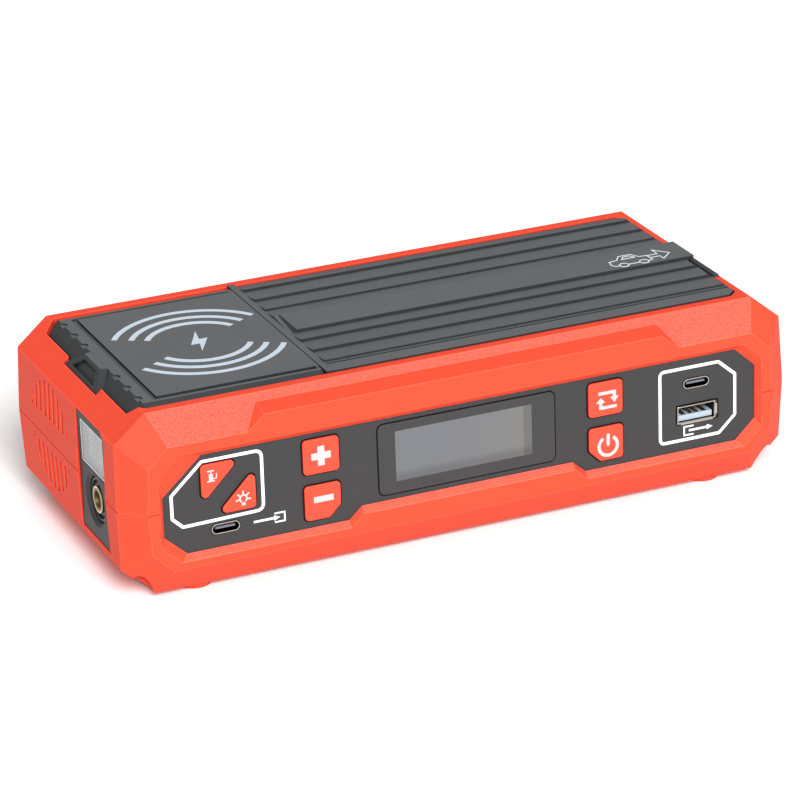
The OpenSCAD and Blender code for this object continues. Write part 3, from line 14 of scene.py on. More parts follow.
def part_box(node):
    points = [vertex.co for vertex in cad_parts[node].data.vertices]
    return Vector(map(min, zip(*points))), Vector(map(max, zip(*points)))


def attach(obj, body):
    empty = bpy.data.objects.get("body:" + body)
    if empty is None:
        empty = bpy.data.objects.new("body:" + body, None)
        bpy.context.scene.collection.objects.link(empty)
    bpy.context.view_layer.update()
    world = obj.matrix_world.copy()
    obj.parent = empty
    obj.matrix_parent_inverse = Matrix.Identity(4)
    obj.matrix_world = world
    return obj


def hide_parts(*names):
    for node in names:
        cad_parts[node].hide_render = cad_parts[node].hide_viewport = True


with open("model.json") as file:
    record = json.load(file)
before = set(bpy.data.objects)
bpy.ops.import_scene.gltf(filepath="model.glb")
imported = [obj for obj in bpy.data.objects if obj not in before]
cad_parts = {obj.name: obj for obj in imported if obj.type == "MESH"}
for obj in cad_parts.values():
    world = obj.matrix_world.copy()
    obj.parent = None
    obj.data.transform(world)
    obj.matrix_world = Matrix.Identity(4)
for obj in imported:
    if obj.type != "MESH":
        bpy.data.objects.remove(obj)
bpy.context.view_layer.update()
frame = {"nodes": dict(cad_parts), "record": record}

MM = 0.001
PRINT_T = 0.05 * MM      # thickness of a printed mark
LINE_T = 0.02 * MM       # thickness of a painted gap shade, a painted shade ring or the display's window
STEP = 0.0004 * MM       # rise from one polygon of a mark to the next, so that no two faces coincide
SINK = 0.02 * MM         # how far a mark's underside reaches into what carries it
PANEL_Y = -50.0          # front face of the control panel

# Camera, solved from the photograph's vanishing points. Its place and clipping are in metres.
CAMERA_AT = (-0.43181, -1.03117, 0.48698)
CAMERA_RIGHT = (0.91655469, -0.39849132, -0.03364778)
CAMERA_UP = (0.18006304, 0.3360971, 0.92445446)
CAMERA_BACK = (-0.35707816, -0.85337179, 0.37980493)
CAMERA_LENS = 175.17
SENSOR = 36.0
CLIP = (0.01, 50)

# Light and floor, in metres and degrees.
FLOOR_HALF = 6
FLOOR_TONE = 0.96
SKY_STRENGTH = 0.4
SUN_ENERGY = 4.7
SUN_ANGLE = 28
SUN_DIRECTION = (0.12, 0.81, -0.57)


# ---- materials -------------------------------------------------------------------------

SLOW_SIZE = 14 * MM              # size of the slow mottling in colour and gloss
GRAIN_SHARE = 0.6                # share of the fine grain in the colour's variation
GLOSS_SPREAD = 0.05              # how far the roughness varies either way
BUMP_HEIGHT = 0.1 * MM
HIGHLIGHT_TURN = (0.93, 0.99)         # how far a rounded edge turns from its face, as a cosine, where the painted highlight is full and where it ends
SLOPE_SHADE_TURN = (0.9, 0.985)        # upward part of the normal, from sloping to flat, over which the painted shade on sloping faces fades out
# From the panel's front to half a millimetre behind it: where the painted shade inside the ports sets in and
# is full.
INWARD_SHADE_Y = (PANEL_Y * MM, -49.5 * MM)
HOLLOW_OPEN = (0.25, 0.9)        # share of open sky, from deep to free, over which the painted shade in grooves and holes fades out
# Grain of the painted sheen on the bevels.
SHEEN_GRAIN_SIZE = 0.3 * MM
SHEEN_GRAINS = (0.38, 0.64)
SHEEN_FRONT = (-0.66, -0.6)      # parts of the normal where the painted sheen sets in or ends: forwards,
SHEEN_UP = (0.4, 0.5)            # upwards
SHEEN_SIDE = (0.1, 0.2)          # and sideways
BRUSH_SIZE = 0.2 * MM
BRUSH_BUMP = 0.05 * MM
BRUSH_GLOSS = (-0.08, 0.12)      # how far the roughness goes down and up


class Graph:
    """A node material in the making."""

    def __init__(self, name):
        self.mat = bpy.data.materials.new(name)
        self.mat.use_nodes = True
        self.tree = self.mat.node_tree
        self.shader = self.tree.nodes["Principled BSDF"]

    def put(self, node, name, value):
        """Links an output to a node's input, or sets the input to a value."""
        socket = node.inputs[name]
        if isinstance(value, bpy.types.NodeSocket):
            self.tree.links.new(value, socket)
        else:
            socket.default_value = value

    def add(self, kind, **inputs):
        """A new node, with an underscore for the space in an input's name."""
        node = self.tree.nodes.new("ShaderNode" + kind)
        for name, value in inputs.items():
            self.put(node, name.replace("_", " "), value)
        return node

    def noise(self, place, size, detail):
        """A noise texture with features of a size in metres."""
        return self.add("TexNoise", Vector=place, Scale=1.0 / size, Detail=detail)

    def mix(self, kind, factor, a, b, blend="MIX"):
        """Two outputs or values mixed by a factor."""
        node = self.add("Mix")
        node.data_type = kind
        node.blend_type = blend
        for name, value in (("Factor", factor), ("A", a), ("B", b)):
            self.put(node, name, value)
        return node.outputs["Result"]

    def times(self, color, value):
        """A colour output times a value output."""
        return self.mix("RGBA", 1.0, color, value, "MULTIPLY")

    def math(self, operation, *values):
        """A calculation with value outputs."""
        node = self.add("Math")
        node.operation = operation
        for i, value in enumerate(values):
            self.put(node, i, value)
        return node.outputs["Value"]

    def span(self, value, source, target):
        """A value output mapped from one span to another, clamped."""
        node = self.add("MapRange", Value=value, From_Min=source[0], From_Max=source[1],
                        To_Min=target[0], To_Max=target[1])
        return node.outputs["Result"]

    def finish(self, **inputs):
        """Puts values or outputs on the shader and returns the material."""
        for name, value in inputs.items():
            self.put(self.shader, name.replace("_", " "), value)
        return self.mat


def bevel_sheen(g, tone, place, facing, sheen):
    """A painted sheen: a paler tone, broken by grain, on the straight bevels that face up and to the front.
    """
    slope = g.span(facing["Y"], SHEEN_FRONT, (1, 0))
    upward = g.span(facing["Z"], SHEEN_UP, (0, 1))
    straight = g.span(g.math("ABSOLUTE", facing["X"]), SHEEN_SIDE, (1, 0))
    grains = g.span(g.noise(place, SHEEN_GRAIN_SIZE, 1.0).outputs["Fac"], SHEEN_GRAINS, (0.05, 1))
    share = g.math("MULTIPLY", g.math("MULTIPLY", slope, upward), g.math("MULTIPLY", straight, grains))
    return g.mix("RGBA", share, tone, (*sheen, 1))


def shade_hollows(g, tone, hollow_shade, tint, reach):
    """Painted shade: a darker tone in grooves and holes, within a reach in metres."""
    shade = g.add("AmbientOcclusion", Distance=reach)
    shade.samples = 6
    openness = g.span(shade.outputs["AO"], HOLLOW_OPEN, (0, 1))
    deep = g.mix("RGBA", openness, (*[hollow_shade * t for t in tint], 1), (1, 1, 1, 1))
    return g.times(tone, deep)


def moulded(name, color, rough, grain, depth, mottle, edge, metal=0.0, specular=0.5, hollow_shade=1.0,
            reach=2.0, slope_shade=1.0, edge_highlight=0.0, inward_shade=1.0, sheen=None, tint=(1, 1, 1)):
    """Moulded plastic or metal: grain in the bump, mottled colour and gloss, softened edges.

    grain, edge and reach are in mm. hollow_shade and tint paint shade into grooves and holes within
    reach, slope_shade paints shade on sloping faces, edge_highlight paints a highlight on the edges,
    inward_shade paints shade on what lies behind the panel's front, and sheen is the tone of a painted
    sheen, broken by grain, on the bevels that face up and to the front.
    """
    g = Graph(name)
    coords = g.add("TexCoord").outputs
    fine = g.noise(coords["Object"], grain * MM, 3.0)
    fine.inputs["Roughness"].default_value = 0.6
    slow = g.noise(coords["Object"], SLOW_SIZE, 4.0)
    speck = g.mix("FLOAT", GRAIN_SHARE, slow.outputs["Fac"], fine.outputs["Fac"])
    ramp = g.add("ValToRGB", Fac=speck)
    for stop, position, factor in zip(ramp.color_ramp.elements, (0.3, 0.7), (1 - mottle, 1 + mottle)):
        stop.position = position
        stop.color = (*[min(1, c * factor) for c in color], 1)
    tone = ramp.outputs["Color"]
    facing = g.add("SeparateXYZ", Vector=coords["Normal"]).outputs
    # Painted sheen on the bevels that face up and to the front, broken up by grain.
    if sheen:
        tone = bevel_sheen(g, tone, coords["Object"], facing, sheen)
    rounded = g.add("Bevel", Radius=edge * MM)
    rounded.samples = 4
    # Painted highlight: the rounded edges are lightened where their normal turns from the face.
    if edge_highlight:
        turn = g.add("VectorMath")
        turn.operation = "DOT_PRODUCT"
        g.put(turn, 0, rounded.outputs["Normal"])
        g.put(turn, 1, g.add("NewGeometry").outputs["True Normal"])
        tone = g.times(tone, g.span(turn.outputs["Value"], HIGHLIGHT_TURN, (1 + edge_highlight, 1)))
    # Painted shade: faces that slope away from the top are darker.
    if slope_shade < 1:
        tone = g.times(tone, g.span(facing["Z"], SLOPE_SHADE_TURN, (slope_shade, 1)))
    # Painted shade: metal deep behind the panel's front, inside the ports, is darkened.
    if inward_shade < 1:
        place = g.add("SeparateXYZ", Vector=coords["Object"]).outputs
        tone = g.times(tone, g.span(place["Y"], INWARD_SHADE_Y, (1, inward_shade)))
    # Painted shade in grooves, gaps and holes, darker where less of the sky is open.
    if hollow_shade < 1:
        tone = shade_hollows(g, tone, hollow_shade, tint, reach * MM)
    gloss = g.span(slow.outputs["Fac"], (0, 1), (rough - GLOSS_SPREAD, rough + GLOSS_SPREAD))
    bump = g.add("Bump", Strength=depth, Distance=BUMP_HEIGHT, Height=fine.outputs["Fac"],
                 Normal=rounded.outputs["Normal"])
    return g.finish(Base_Color=tone, Roughness=gloss, Normal=bump.outputs["Normal"], Metallic=metal,
                    Specular_IOR_Level=specular)


def brushed(name, color, rough, axis, stretch=60.0):
    """Metal with fine lines along one axis, or across it where stretch is below 1."""
    g = Graph(name)
    scale = [1.0 / BRUSH_SIZE] * 3
    scale[axis] /= stretch
    mapping = g.add("Mapping", Vector=g.add("TexCoord").outputs["Object"], Scale=scale)
    lines = g.noise(mapping.outputs["Vector"], 1.0, 2.0).outputs["Fac"]
    bump = g.add("Bump", Strength=0.08, Distance=BRUSH_BUMP, Height=lines)
    return g.finish(Base_Color=(*color, 1), Metallic=1.0, Normal=bump.outputs["Normal"],
                    Roughness=g.span(lines, (0, 1), [rough + change for change in BRUSH_GLOSS]))


def clear_plastic(name, tint, rough):
    """Clear moulded plastic."""
    g = Graph(name)
    cloud = g.add("TexNoise", Scale=1.0 / (3 * MM)).outputs["Fac"]
    return g.finish(Base_Color=(*tint, 1), Transmission_Weight=0.84, IOR=1.45,
                    Roughness=g.span(cloud, (0, 1), (rough, rough + 0.05)))


# The display's window, and where its darker lower and right edges begin and end.
WINDOW_X = (-23.4, 21.3)
WINDOW_Z = (24.6, 40.7)
LOWER_EDGE = (26.0 * MM, 28.2 * MM)
RIGHT_EDGE = (18.5 * MM, 18.7 * MM)
EDGE_TONE = 0.72


def display_face(name):
    """The grey of the display's window, with a slow change of tone from left to right."""
    g = Graph(name)
    place = g.add("TexCoord").outputs["Object"]
    axes = g.add("SeparateXYZ", Vector=place).outputs
    along = g.span(axes["X"], [x * MM for x in WINDOW_X], (0, 1))
    cloud = g.noise(place, 18 * MM, 1.0).outputs["Fac"]
    ramp = g.add("ValToRGB", Fac=g.mix("FLOAT", 0.3, along, cloud))
    ramp.color_ramp.elements[0].color = (0.104, 0.122, 0.125, 1)
    ramp.color_ramp.elements[1].color = (0.125, 0.128, 0.118, 1)
    ramp.color_ramp.elements.new(0.4).color = (0.114, 0.118, 0.13, 1)
    lower = g.span(axes["Z"], LOWER_EDGE, (EDGE_TONE, 1))
    right = g.span(axes["X"], RIGHT_EDGE, (1, EDGE_TONE))
    return g.finish(Base_Color=g.times(g.times(ramp.outputs["Color"], lower), right), Roughness=0.25)


# Name: colour, roughness, grain, bump strength, mottling, edge radius, other settings.
MOULDED = {
    "shell_red": ((0.74, 0.062, 0.028), 0.6, 0.22, 0.45, 0.05, 0.35,
                  dict(specular=0.14, hollow_shade=0.55, reach=2.0, edge_highlight=1.4, sheen=(0.85, 0.125, 0.09),
                       tint=(1, 0.4, 0.35))),
    "cover_grey": ((0.099, 0.103, 0.106), 0.62, 0.25, 0.4, 0.10, 0.2,
                   dict(specular=0.3, hollow_shade=0.2, reach=1.8, slope_shade=0.3, edge_highlight=0.2)),
    "panel_grey": ((0.036, 0.0362, 0.037), 0.5, 0.3, 0.06, 0.05, 0.2,
                   dict(specular=0.22, hollow_shade=0.1, reach=1.8)),
    "button_red": ((0.74, 0.05, 0.017), 0.4, 0.25, 0.08, 0.04, 0.8,
                   dict(hollow_shade=0.5, reach=0.8, edge_highlight=0.5, tint=(1, 0.6, 0.6))),
    "inner_plastic": ((0.02, 0.021, 0.022), 0.55, 0.3, 0.15, 0.08, 0.2, {}),
    "lens_smoke": ((0.036, 0.0362, 0.037), 0.2, 0.5, 0.01, 0.03, 0.2,
                   dict(specular=0.3, hollow_shade=0.1, reach=0.6)),
    "display_glass": ((0.23, 0.25, 0.25), 0.2, 0.4, 0.01, 0.03, 0.3, {}),
    "foot_rubber": ((0.68, 0.045, 0.016), 0.7, 0.3, 0.3, 0.08, 0.5, {}),
    "flap_rubber": ((0.03, 0.032, 0.034), 0.7, 0.3, 0.3, 0.08, 0.4, {}),
    "hose_rubber": ((0.015, 0.015, 0.016), 0.7, 0.3, 0.2, 0.08, 0.3, {}),
    "collar_black": ((0.014, 0.014, 0.015), 0.35, 0.3, 0.06, 0.05, 0.4, {}),
    "port_steel": ((0.5, 0.47, 0.41), 0.3, 0.2, 0.1, 0.04, 0.1, dict(metal=1.0, inward_shade=0.05)),
    "pump_aluminium": ((0.5, 0.51, 0.52), 0.5, 0.4, 0.3, 0.05, 0.3, dict(metal=1.0)),
    "cell_foil": ((0.6, 0.62, 0.65), 0.35, 2, 0.1, 0.04, 0.3, dict(metal=1.0)),
    "port_white": ((0.36, 0.43, 0.48), 0.4, 0.3, 0.05, 0.03, 0.15, {}),
    "lamp_white": ((0.5, 0.53, 0.54), 0.4, 0.4, 0.05, 0.03, 0.3, {}),
    "led_yellow": ((0.85, 0.66, 0.08), 0.4, 0.2, 0.1, 0.06, 0.2, {}),
    "icon_white": ((0.55, 0.47, 0.48), 0.5, 0.3, 0.05, 0.03, 0.02, {}),
    "lamp_edge": ((0.6, 0.63, 0.65), 0.4, 0.3, 0.05, 0.03, 0.05, {}),
    "brass_shade": ((0.16, 0.12, 0.05), 0.4, 0.3, 0.05, 0.05, 0.05, dict(metal=1.0)),
    "port_tongue": ((0.13, 0.135, 0.165), 0.4, 0.3, 0.05, 0.05, 0.05, {}),
    "port_dark": ((0.006, 0.006, 0.007), 0.6, 0.3, 0.05, 0.05, 0.05, dict(specular=0.05)),
    "board_green": ((0.02, 0.12, 0.04), 0.35, 0.5, 0.1, 0.1, 0.3, {}),
    "socket_blue": ((0.02, 0.08, 0.3), 0.4, 0.3, 0.1, 0.05, 0.3, {}),
    "print_white": ((0.8, 0.82, 0.84), 0.5, 0.3, 0.05, 0.02, 0.02, {}),
    "print_blue": ((0.52, 0.6, 0.68), 0.5, 0.3, 0.05, 0.02, 0.02, {}),
}
# Name: colour, roughness, axis, how far the lines are drawn out along it.
BRUSHED = {
    "screw_steel": ((0.5, 0.51, 0.52), 0.35, 2),
    "motor_steel": ((0.4, 0.41, 0.42), 0.35, 1),
    "outlet_brass": ((0.6, 0.5, 0.27), 0.3, 0, 0.05),
    "pin_brass": ((0.75, 0.52, 0.2), 0.22, 0),
    "coil_copper": ((0.72, 0.33, 0.16), 0.35, 2, 0.2),
    "contact_gold": ((0.6, 0.45, 0.2), 0.3, 1),
}
MATERIALS = {name: moulded(name, *values[:-1], **values[-1]) for name, values in MOULDED.items()}
MATERIALS.update({name: brushed(name, *values) for name, values in BRUSHED.items()})
MATERIALS["lamp_clear"] = clear_plastic("lamp_clear", (0.7, 0.77, 0.8), 0.1)
MATERIALS["display_face"] = display_face("display_face")


def dress_nodes():
    """Gives every CAD node the material of its slot."""
    for sub in frame["record"]["subparts"]:
        node = frame["nodes"][sub["node"]]
        mat = MATERIALS[sub["material_slot"]]
        if not node.material_slots:
            node.data.materials.append(mat)
        for slot in node.material_slots:
            slot.material = mat


# ---- pieces ----------------------------------------------------------------------------

def add_object(name, data):
    """A new object in the scene."""
    obj = bpy.data.objects.new(name, data)
    bpy.context.scene.collection.objects.link(obj)
    return obj


def add_mesh(name, bm):
    """A new object from a mesh in the making."""
    mesh = bpy.data.meshes.new(name)
    bm.to_mesh(mesh)
    bm.free()
    return add_object(name, mesh)


def add_piece(name, bm, body, material):
    """A piece of the object, with its finish, that rides on a body."""
    obj = add_mesh(name, bm)
    obj.data.materials.append(MATERIALS[material])
    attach(obj, body)
    return obj


def on_top(level):
    """Maps (x, y) in mm to the top plane at a level in metres."""
    return lambda p, h: Vector((p[0] * MM, p[1] * MM, level + h))


def on_front(level):
    """Maps (x, z) in mm to a plane facing -Y at a level in metres."""
    return lambda p, h: Vector((p[0] * MM, level - h, p[1] * MM))


def on_end(level):
    """Maps (y, z) in mm to a plane facing -X at a level in metres."""
    return lambda p, h: Vector((level - h, p[0] * MM, p[1] * MM))


def mark(name, polygons, place, body, material, thick=PRINT_T):
    """A thin raised mark made of flat polygons."""
    bm = bmesh.new()
    for i, poly in enumerate(polygons):
        low = [bm.verts.new(place(p, -SINK)) for p in poly]
        high = [bm.verts.new(place(p, thick + i * STEP)) for p in poly]
        bm.faces.new(high)
        bm.faces.new(list(reversed(low)))
        for k in range(len(poly)):
            j = (k + 1) % len(poly)
            bm.faces.new((low[k], low[j], high[j], high[k]))
    bmesh.ops.recalc_face_normals(bm, faces=bm.faces)
    bmesh.ops.triangulate(bm, faces=[f for f in bm.faces if len(f.verts) > 4])
    return add_piece(name, bm, body, material)


def block(bm, low, high):
    """A box between two corners in mm, added to a mesh."""
    corners = [[low[k] if (i >> k) & 1 == 0 else high[k] for k in range(3)] for i in range(8)]
    verts = [bm.verts.new([c * MM for c in corner]) for corner in corners]
    for face in ((0, 2, 3, 1), (4, 5, 7, 6), (0, 1, 5, 4), (2, 6, 7, 3), (0, 4, 6, 2), (1, 3, 7, 5)):
        bm.faces.new([verts[i] for i in face])


def blocks(name, boxes, body, material, soften=0.0):
    """One piece made of boxes given by their corners in mm, with softened edges."""
    bm = bmesh.new()
    for low, high in boxes:
        block(bm, low, high)
    bmesh.ops.recalc_face_normals(bm, faces=bm.faces)
    if soften:
        bmesh.ops.bevel(bm, geom=bm.edges[:], offset=soften * MM, segments=2, affect="EDGES", profile=0.5)
    return add_piece(name, bm, body, material)


# ---- drawing in mm ---------------------------------------------------------------------

def box_mm(node):
    """A node's lowest and highest corners."""
    return [[v / MM for v in corner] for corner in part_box(node)]


def centre_mm(node):
    """The middle of a node's box."""
    low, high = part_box(node)
    return [(a + b) / 2 / MM for a, b in zip(low, high)]


def mitre(a, p, b):
    """How far a corner moves for its two sides to move one unit to the left."""
    d1 = (p - a).normalized()
    d2 = (b - p).normalized()
    n1, n2 = Vector((-d1.y, d1.x)), Vector((-d2.y, d2.x))
    return (n1 + n2) / (1 + n1.dot(n2))


def ribbon(points, width, closed=False):
    """Quads along a polyline of a width, with mitred corners."""
    pts = [Vector(p) for p in points]
    n = len(pts)
    sides = []
    for i, p in enumerate(pts):
        a = pts[i - 1] if closed or i > 0 else 2 * p - pts[i + 1]
        b = pts[(i + 1) % n] if closed or i < n - 1 else 2 * p - a
        out = mitre(a, p, b) * width / 2
        sides.append((p + out, p - out))
    quads = []
    for i in range(n if closed else n - 1):
        j = (i + 1) % n
        quads.append([sides[i][1], sides[j][1], sides[j][0], sides[i][0]])
    return quads


def grown(points, distance):
    """A counter-clockwise outline moved outwards by a distance."""
    return [tuple(Vector(p) - mitre(Vector(a), Vector(p), Vector(b)) * distance)
            for a, p, b in zip(points[-1:] + points[:-1], points, points[1:] + points[:1])]


def arc(cx, cy, r, start, end, steps=24):
    """Points on an arc, angles in degrees."""
    turns = [math.radians(start + (end - start) * i / steps) for i in range(steps + 1)]
    return [(cx + r * math.cos(t), cy + r * math.sin(t)) for t in turns]


def rect(cx, cy, w, h):
    """The corners of a rectangle about its middle."""
    return [(cx + sx * w / 2, cy + sy * h / 2) for sx, sy in ((-1, -1), (1, -1), (1, 1), (-1, 1))]


def moved(quads, dx, dy):
    """Polygons moved by a distance."""
    return [[(p[0] + dx, p[1] + dy) for p in quad] for quad in quads]


def rounded_path(points, radii, steps=6):
    """A closed path with its corners turned into arcs."""
    path = []
    for i, (point, r) in enumerate(zip(points, radii)):
        p = Vector(point)
        to_a = (Vector(points[i - 1]) - p).normalized()
        to_b = (Vector(points[(i + 1) % len(points)]) - p).normalized()
        half = to_a.angle(to_b) / 2
        start, end = p + to_a * r / math.tan(half), p + to_b * r / math.tan(half)
        for k in range(steps + 1):
            t = k / steps
            path.append(tuple(start * (1 - t) ** 2 + p * 2 * t * (1 - t) + end * t * t))
    return path


def ring(cx, cz, w, h, r, width):
    """A rounded rectangular outline."""
    return ribbon(rounded_path(rect(cx, cz, w, h), [r] * 4, 8), width, True)


def outline(node):
    """The outer edge of a node's front face, as counter-clockwise (x, z) points."""
    mesh = frame["nodes"][node].data
    front = min(v.co.y for v in mesh.vertices) + 0.01 * MM
    uses = {}
    for face in mesh.polygons:
        if all(mesh.vertices[i].co.y < front for i in face.vertices):
            for edge in face.edge_keys:
                uses[edge] = uses.get(edge, 0) + 1
    rim = {}
    for (a, b), count in uses.items():
        if count == 1:
            rim.setdefault(a, []).append(b)
            rim.setdefault(b, []).append(a)
    start = min(rim, key=lambda i: mesh.vertices[i].co.x)
    path, last, here = [start], None, start
    while True:
        ahead = [i for i in rim[here] if i != last]
        last, here = here, ahead[0]
        if here == start:
            break
        path.append(here)
    points = [(mesh.vertices[i].co.x / MM, mesh.vertices[i].co.z / MM) for i in path]
    area = sum(p[0] * q[1] - q[0] * p[1] for p, q in zip(points, points[1:] + points[:1]))
    return points if area > 0 else points[::-1]


# ---- marks on the top ------------------------------------------------------------------

def pad_marks():
    """Three pairs of arcs and a bolt on the charging pad."""
    place = on_top(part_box("pad_lid")[1][2])
    cx, cy, _ = centre_mm("charging_coil")
    arcs = []
    for radius in (26.0, 20.7, 15.8):
        for side in (1, -1):
            arcs += ribbon(arc(cx, cy, radius, side * 30.4, side * 149.6, 40), 1.8)
    mark("pad_arcs", arcs, place, "lid", "print_blue")
    bolt = [(1.9, 8.3), (-3.1, -1.6), (-0.3, -1.6), (-1.9, -7.9), (3.4, 1.7), (0.7, 1.7)]
    halves = [[bolt[i] for i in half] for half in ((0, 1, 2, 5), (2, 3, 4, 5))]
    mark("pad_bolt", moved(halves, cx, cy), place, "lid", "print_blue")


def car_icon():
    """A plain line drawing of a car with an arrow on the cover's centre strip."""
    width, ground, up = 0.34, -5.7, 0.9
    body = [(73.8, ground), (72.5, ground), (71.7, -4.4), (72.2, -1.4), (75.2, -0.9), (77.0, 2.0),
            (81.2, 2.0), (82.8, -1.0), (85.3, -1.3), (85.6, -5.1), (84.2, ground)]
    arrow = [(85.5, -1.5), (89.0, -1.5), (89.0, 2.3), (92.9, -2.4), (89.0, -6.2), (89.0, -3.6),
             (85.5, -3.6)]
    sill = [(77.0, ground), (80.7, ground)]
    window = [(76.9, -0.9), (78.2, 0.9), (80.4, 0.9), (81.4, -0.9)]
    quads = ribbon(body, width) + ribbon(arrow, width, True) + ribbon(sill, width)
    quads += ribbon(window, width, True)
    for x in (75.4, 82.4):
        quads += ribbon(arc(x, ground, 1.5, 0, 360, 20), width)
    place = on_top(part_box("top_cover")[1][2])
    mark("car_icon", moved(quads, 0, up), place, "base", "print_white")


# ---- control panel ---------------------------------------------------------------------

KEYS = ("pump", "light", "plus", "minus", "mode", "power")
PUMP_ICON = (-82.0, 38.3)       # middles of the marks on the triangular keys
LIGHT_ICON = (-72.3, 29.3)
INPUT_MARK = (-64.0, 20.8)      # middles of the marks beside the input and under the output
OUTPUT_MARK = (77.4, 21.6)


def panel_frames():
    """White outlines round the pump keys and round the output ports."""
    place = on_front(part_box("front_panel")[0][1])
    left = [(-84.5, 43.2), (-65.8, 43.2), (-65.9, 24.3), (-91.2, 23.8), (-94.4, 26.9), (-94.4, 34.2)]
    right = [(64.6, 42.4), (84.6, 42.4), (90.3, 37.4), (90.3, 23.9), (84.8, 18.8), (64.6, 18.8)]
    for name, points, radii in (
        ("frame_left", left, (0.5, 2.2, 2.2, 0.5, 0.5, 0.5)),
        ("frame_right", right, (1.6, 0.7, 0.7, 0.7, 0.7, 1.6)),
    ):
        quads = ribbon(rounded_path(points, radii), 1.0, True)
        mark(name, quads, place, "base", "print_white")


def key_icon(key, quads, middle=None):
    """A mark on a key's face, given about a middle, or else about the key's centre."""
    node = "button_" + key
    cx, _, cz = centre_mm(node)
    place = on_front(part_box(node)[0][1])
    mark("icon_" + key, moved(quads, *(middle or (cx, cz))), place, "key_" + key, "icon_white")


def key_icons():
    """The marks on the six keys."""
    key_icon("plus", [rect(0, 0, 6.2, 2.2), rect(0, 2.1, 2.2, 2.0), rect(0, -2.1, 2.2, 2.0)])
    key_icon("minus", [rect(0.25, 0.9, 6.3, 1.9)])
    # Power: an open ring with a bar.
    bar = arc(0.65, 2.6, 0.55, 0, 180, 8) + arc(0.65, -0.4, 0.55, 180, 360, 8)
    key_icon("power", ribbon(arc(0.65, -0.9, 3.1, 122, 418, 30), 1.05) + [bar])
    # Mode: two bent arrows that follow each other.
    down = [(-2.4, 2.35), (3.5, 2.35), (3.5, 0.3), (4.4, 0.3), (2.95, -1.7), (1.5, 0.25), (2.4, 0.25),
            (2.4, 1.3), (-2.4, 1.3)]
    up = [(3.7, -3.4), (3.7, -2.4), (-1.1, -2.4), (-1.1, -1.2), (-0.1, -1.2), (-1.65, 0.45),
          (-3.3, -1.2), (-2.2, -1.2), (-2.2, -3.4)]
    key_icon("mode", [down, up])
    # Lamp: bulb, base and rays.
    bulb = ribbon(arc(0, 0, 1.1, -60, 240, 20), 0.5) + [rect(0, -1.7, 1.15, 1.0)]
    for angle in (-10, 40, 90, 140, 190):
        c, s = math.cos(math.radians(angle)), math.sin(math.radians(angle))
        bulb += ribbon([(1.3 * c, 1.3 * s), (2.45 * c, 2.45 * s)], 0.5)
    key_icon("light", bulb, LIGHT_ICON)
    # Pump: handle, rod, barrel, foot and hose.
    pump = [rect(0, 2.0, 2.6, 0.5), rect(0, 1.3, 0.5, 1.0), rect(0, -0.3, 1.5, 2.4), rect(0, -1.8, 2.8, 0.5)]
    pump += ribbon([(0.75, -1.0), (1.8, -1.0), (2.1, -0.4), (2.1, 0.9)], 0.4)
    pump_scale = 0.85
    key_icon("pump", [[(pump_scale * x, pump_scale * y) for x, y in quad] for quad in pump], PUMP_ICON)


def gap_shade_lines():
    """Painted shade: dark lines at the gaps round the panel, the display lens and the keys."""
    place = on_front(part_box("front_panel")[0][1])
    lines = [("gap_panel", "front_panel", -0.2, 0.5), ("gap_lens", "display_lens", 0.22, 0.4)]
    lines += [("gap_" + key, "button_" + key, 0.26, 0.46) for key in KEYS]
    for name, node, distance, width in lines:
        quads = ribbon(grown(outline(node), distance), width, True)
        mark(name, quads, place, "base", "port_dark", LINE_T)


def port_arrows():
    """An arrow into a bracket beside the input port, and one out of a bracket under the output ports."""
    place = on_front(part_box("front_panel")[0][1])
    shaft, head, near, far, half = 0.35, 0.85, 1.4, 4.6, 1.4
    for name, middle, side, (start, neck, tip) in (
        ("input_mark", INPUT_MARK, 1, (-5.2, 1.2, 3.2)),
        ("output_mark", OUTPUT_MARK, -1, (-3.0, 3.2, 5.2)),
    ):
        bracket = [(side * near, -half), (side * far, -half), (side * far, half), (side * near, half)]
        arrow = [(start, shaft), (start, -shaft), (neck, -shaft), (neck, -head), (tip, 0), (neck, head),
                 (neck, shaft)]
        quads = moved(ribbon(bracket, 0.5) + [arrow], *middle)
        mark(name, quads, place, "base", "print_white")


def display_window():
    """The grey window of the display."""
    (x0, x1), (z0, z1) = WINDOW_X, WINDOW_Z
    window = rect((x0 + x1) / 2, (z0 + z1) / 2, x1 - x0, z1 - z0)
    mark("display_face", [window], on_front(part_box("display_lens")[0][1]), "base", "display_face",
         LINE_T)


def lamp_end():
    """The moulded edge of the lamp's lens, and a dark ring of painted shade where the brass fitting has its
    countersink.
    """
    low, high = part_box("lamp_lens")
    _, cy, cz = centre_mm("lamp_lens")
    w, h = (high[1] - low[1]) / MM, (high[2] - low[2]) / MM
    inset, corner, width = 0.5, 0.4, 0.45
    edge = ring(cy, cz, w - inset, h - inset, corner, width)
    mark("lamp_edge", edge, on_end(low[0]), "base", "lamp_edge")
    _, cy, cz = centre_mm("outlet_fitting")
    points = 40
    # Painted shade: a dark ring on the fitting's face stands in for its shaded countersink.
    sink = ribbon(arc(cy, cz, 3.12, 0, 360 - 360 / points, points - 1), 0.75, True)
    mark("brass_sink", sink, on_end(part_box("outlet_fitting")[0][0]), "base", "brass_shade",
         LINE_T)


# ---- ports -----------------------------------------------------------------------------

CONTACT_X = (-3.5, -1.0, 1.0, 3.5)      # contacts of the large port about its middle
HOLDER = 3.0                            # depth of the block that holds the large port's tongue


def oval_ports():
    """A tongue in each oval port."""
    for name in ("usb_c_input", "usb_c_output"):
        cx, _, cz = centre_mm(name)
        box = ((cx - 3.1, -49.6, cz - 0.2), (cx + 3.1, -43.4, cz + 0.4))
        blocks(name + "_tongue", [box], "base", "port_tongue", 0.08)


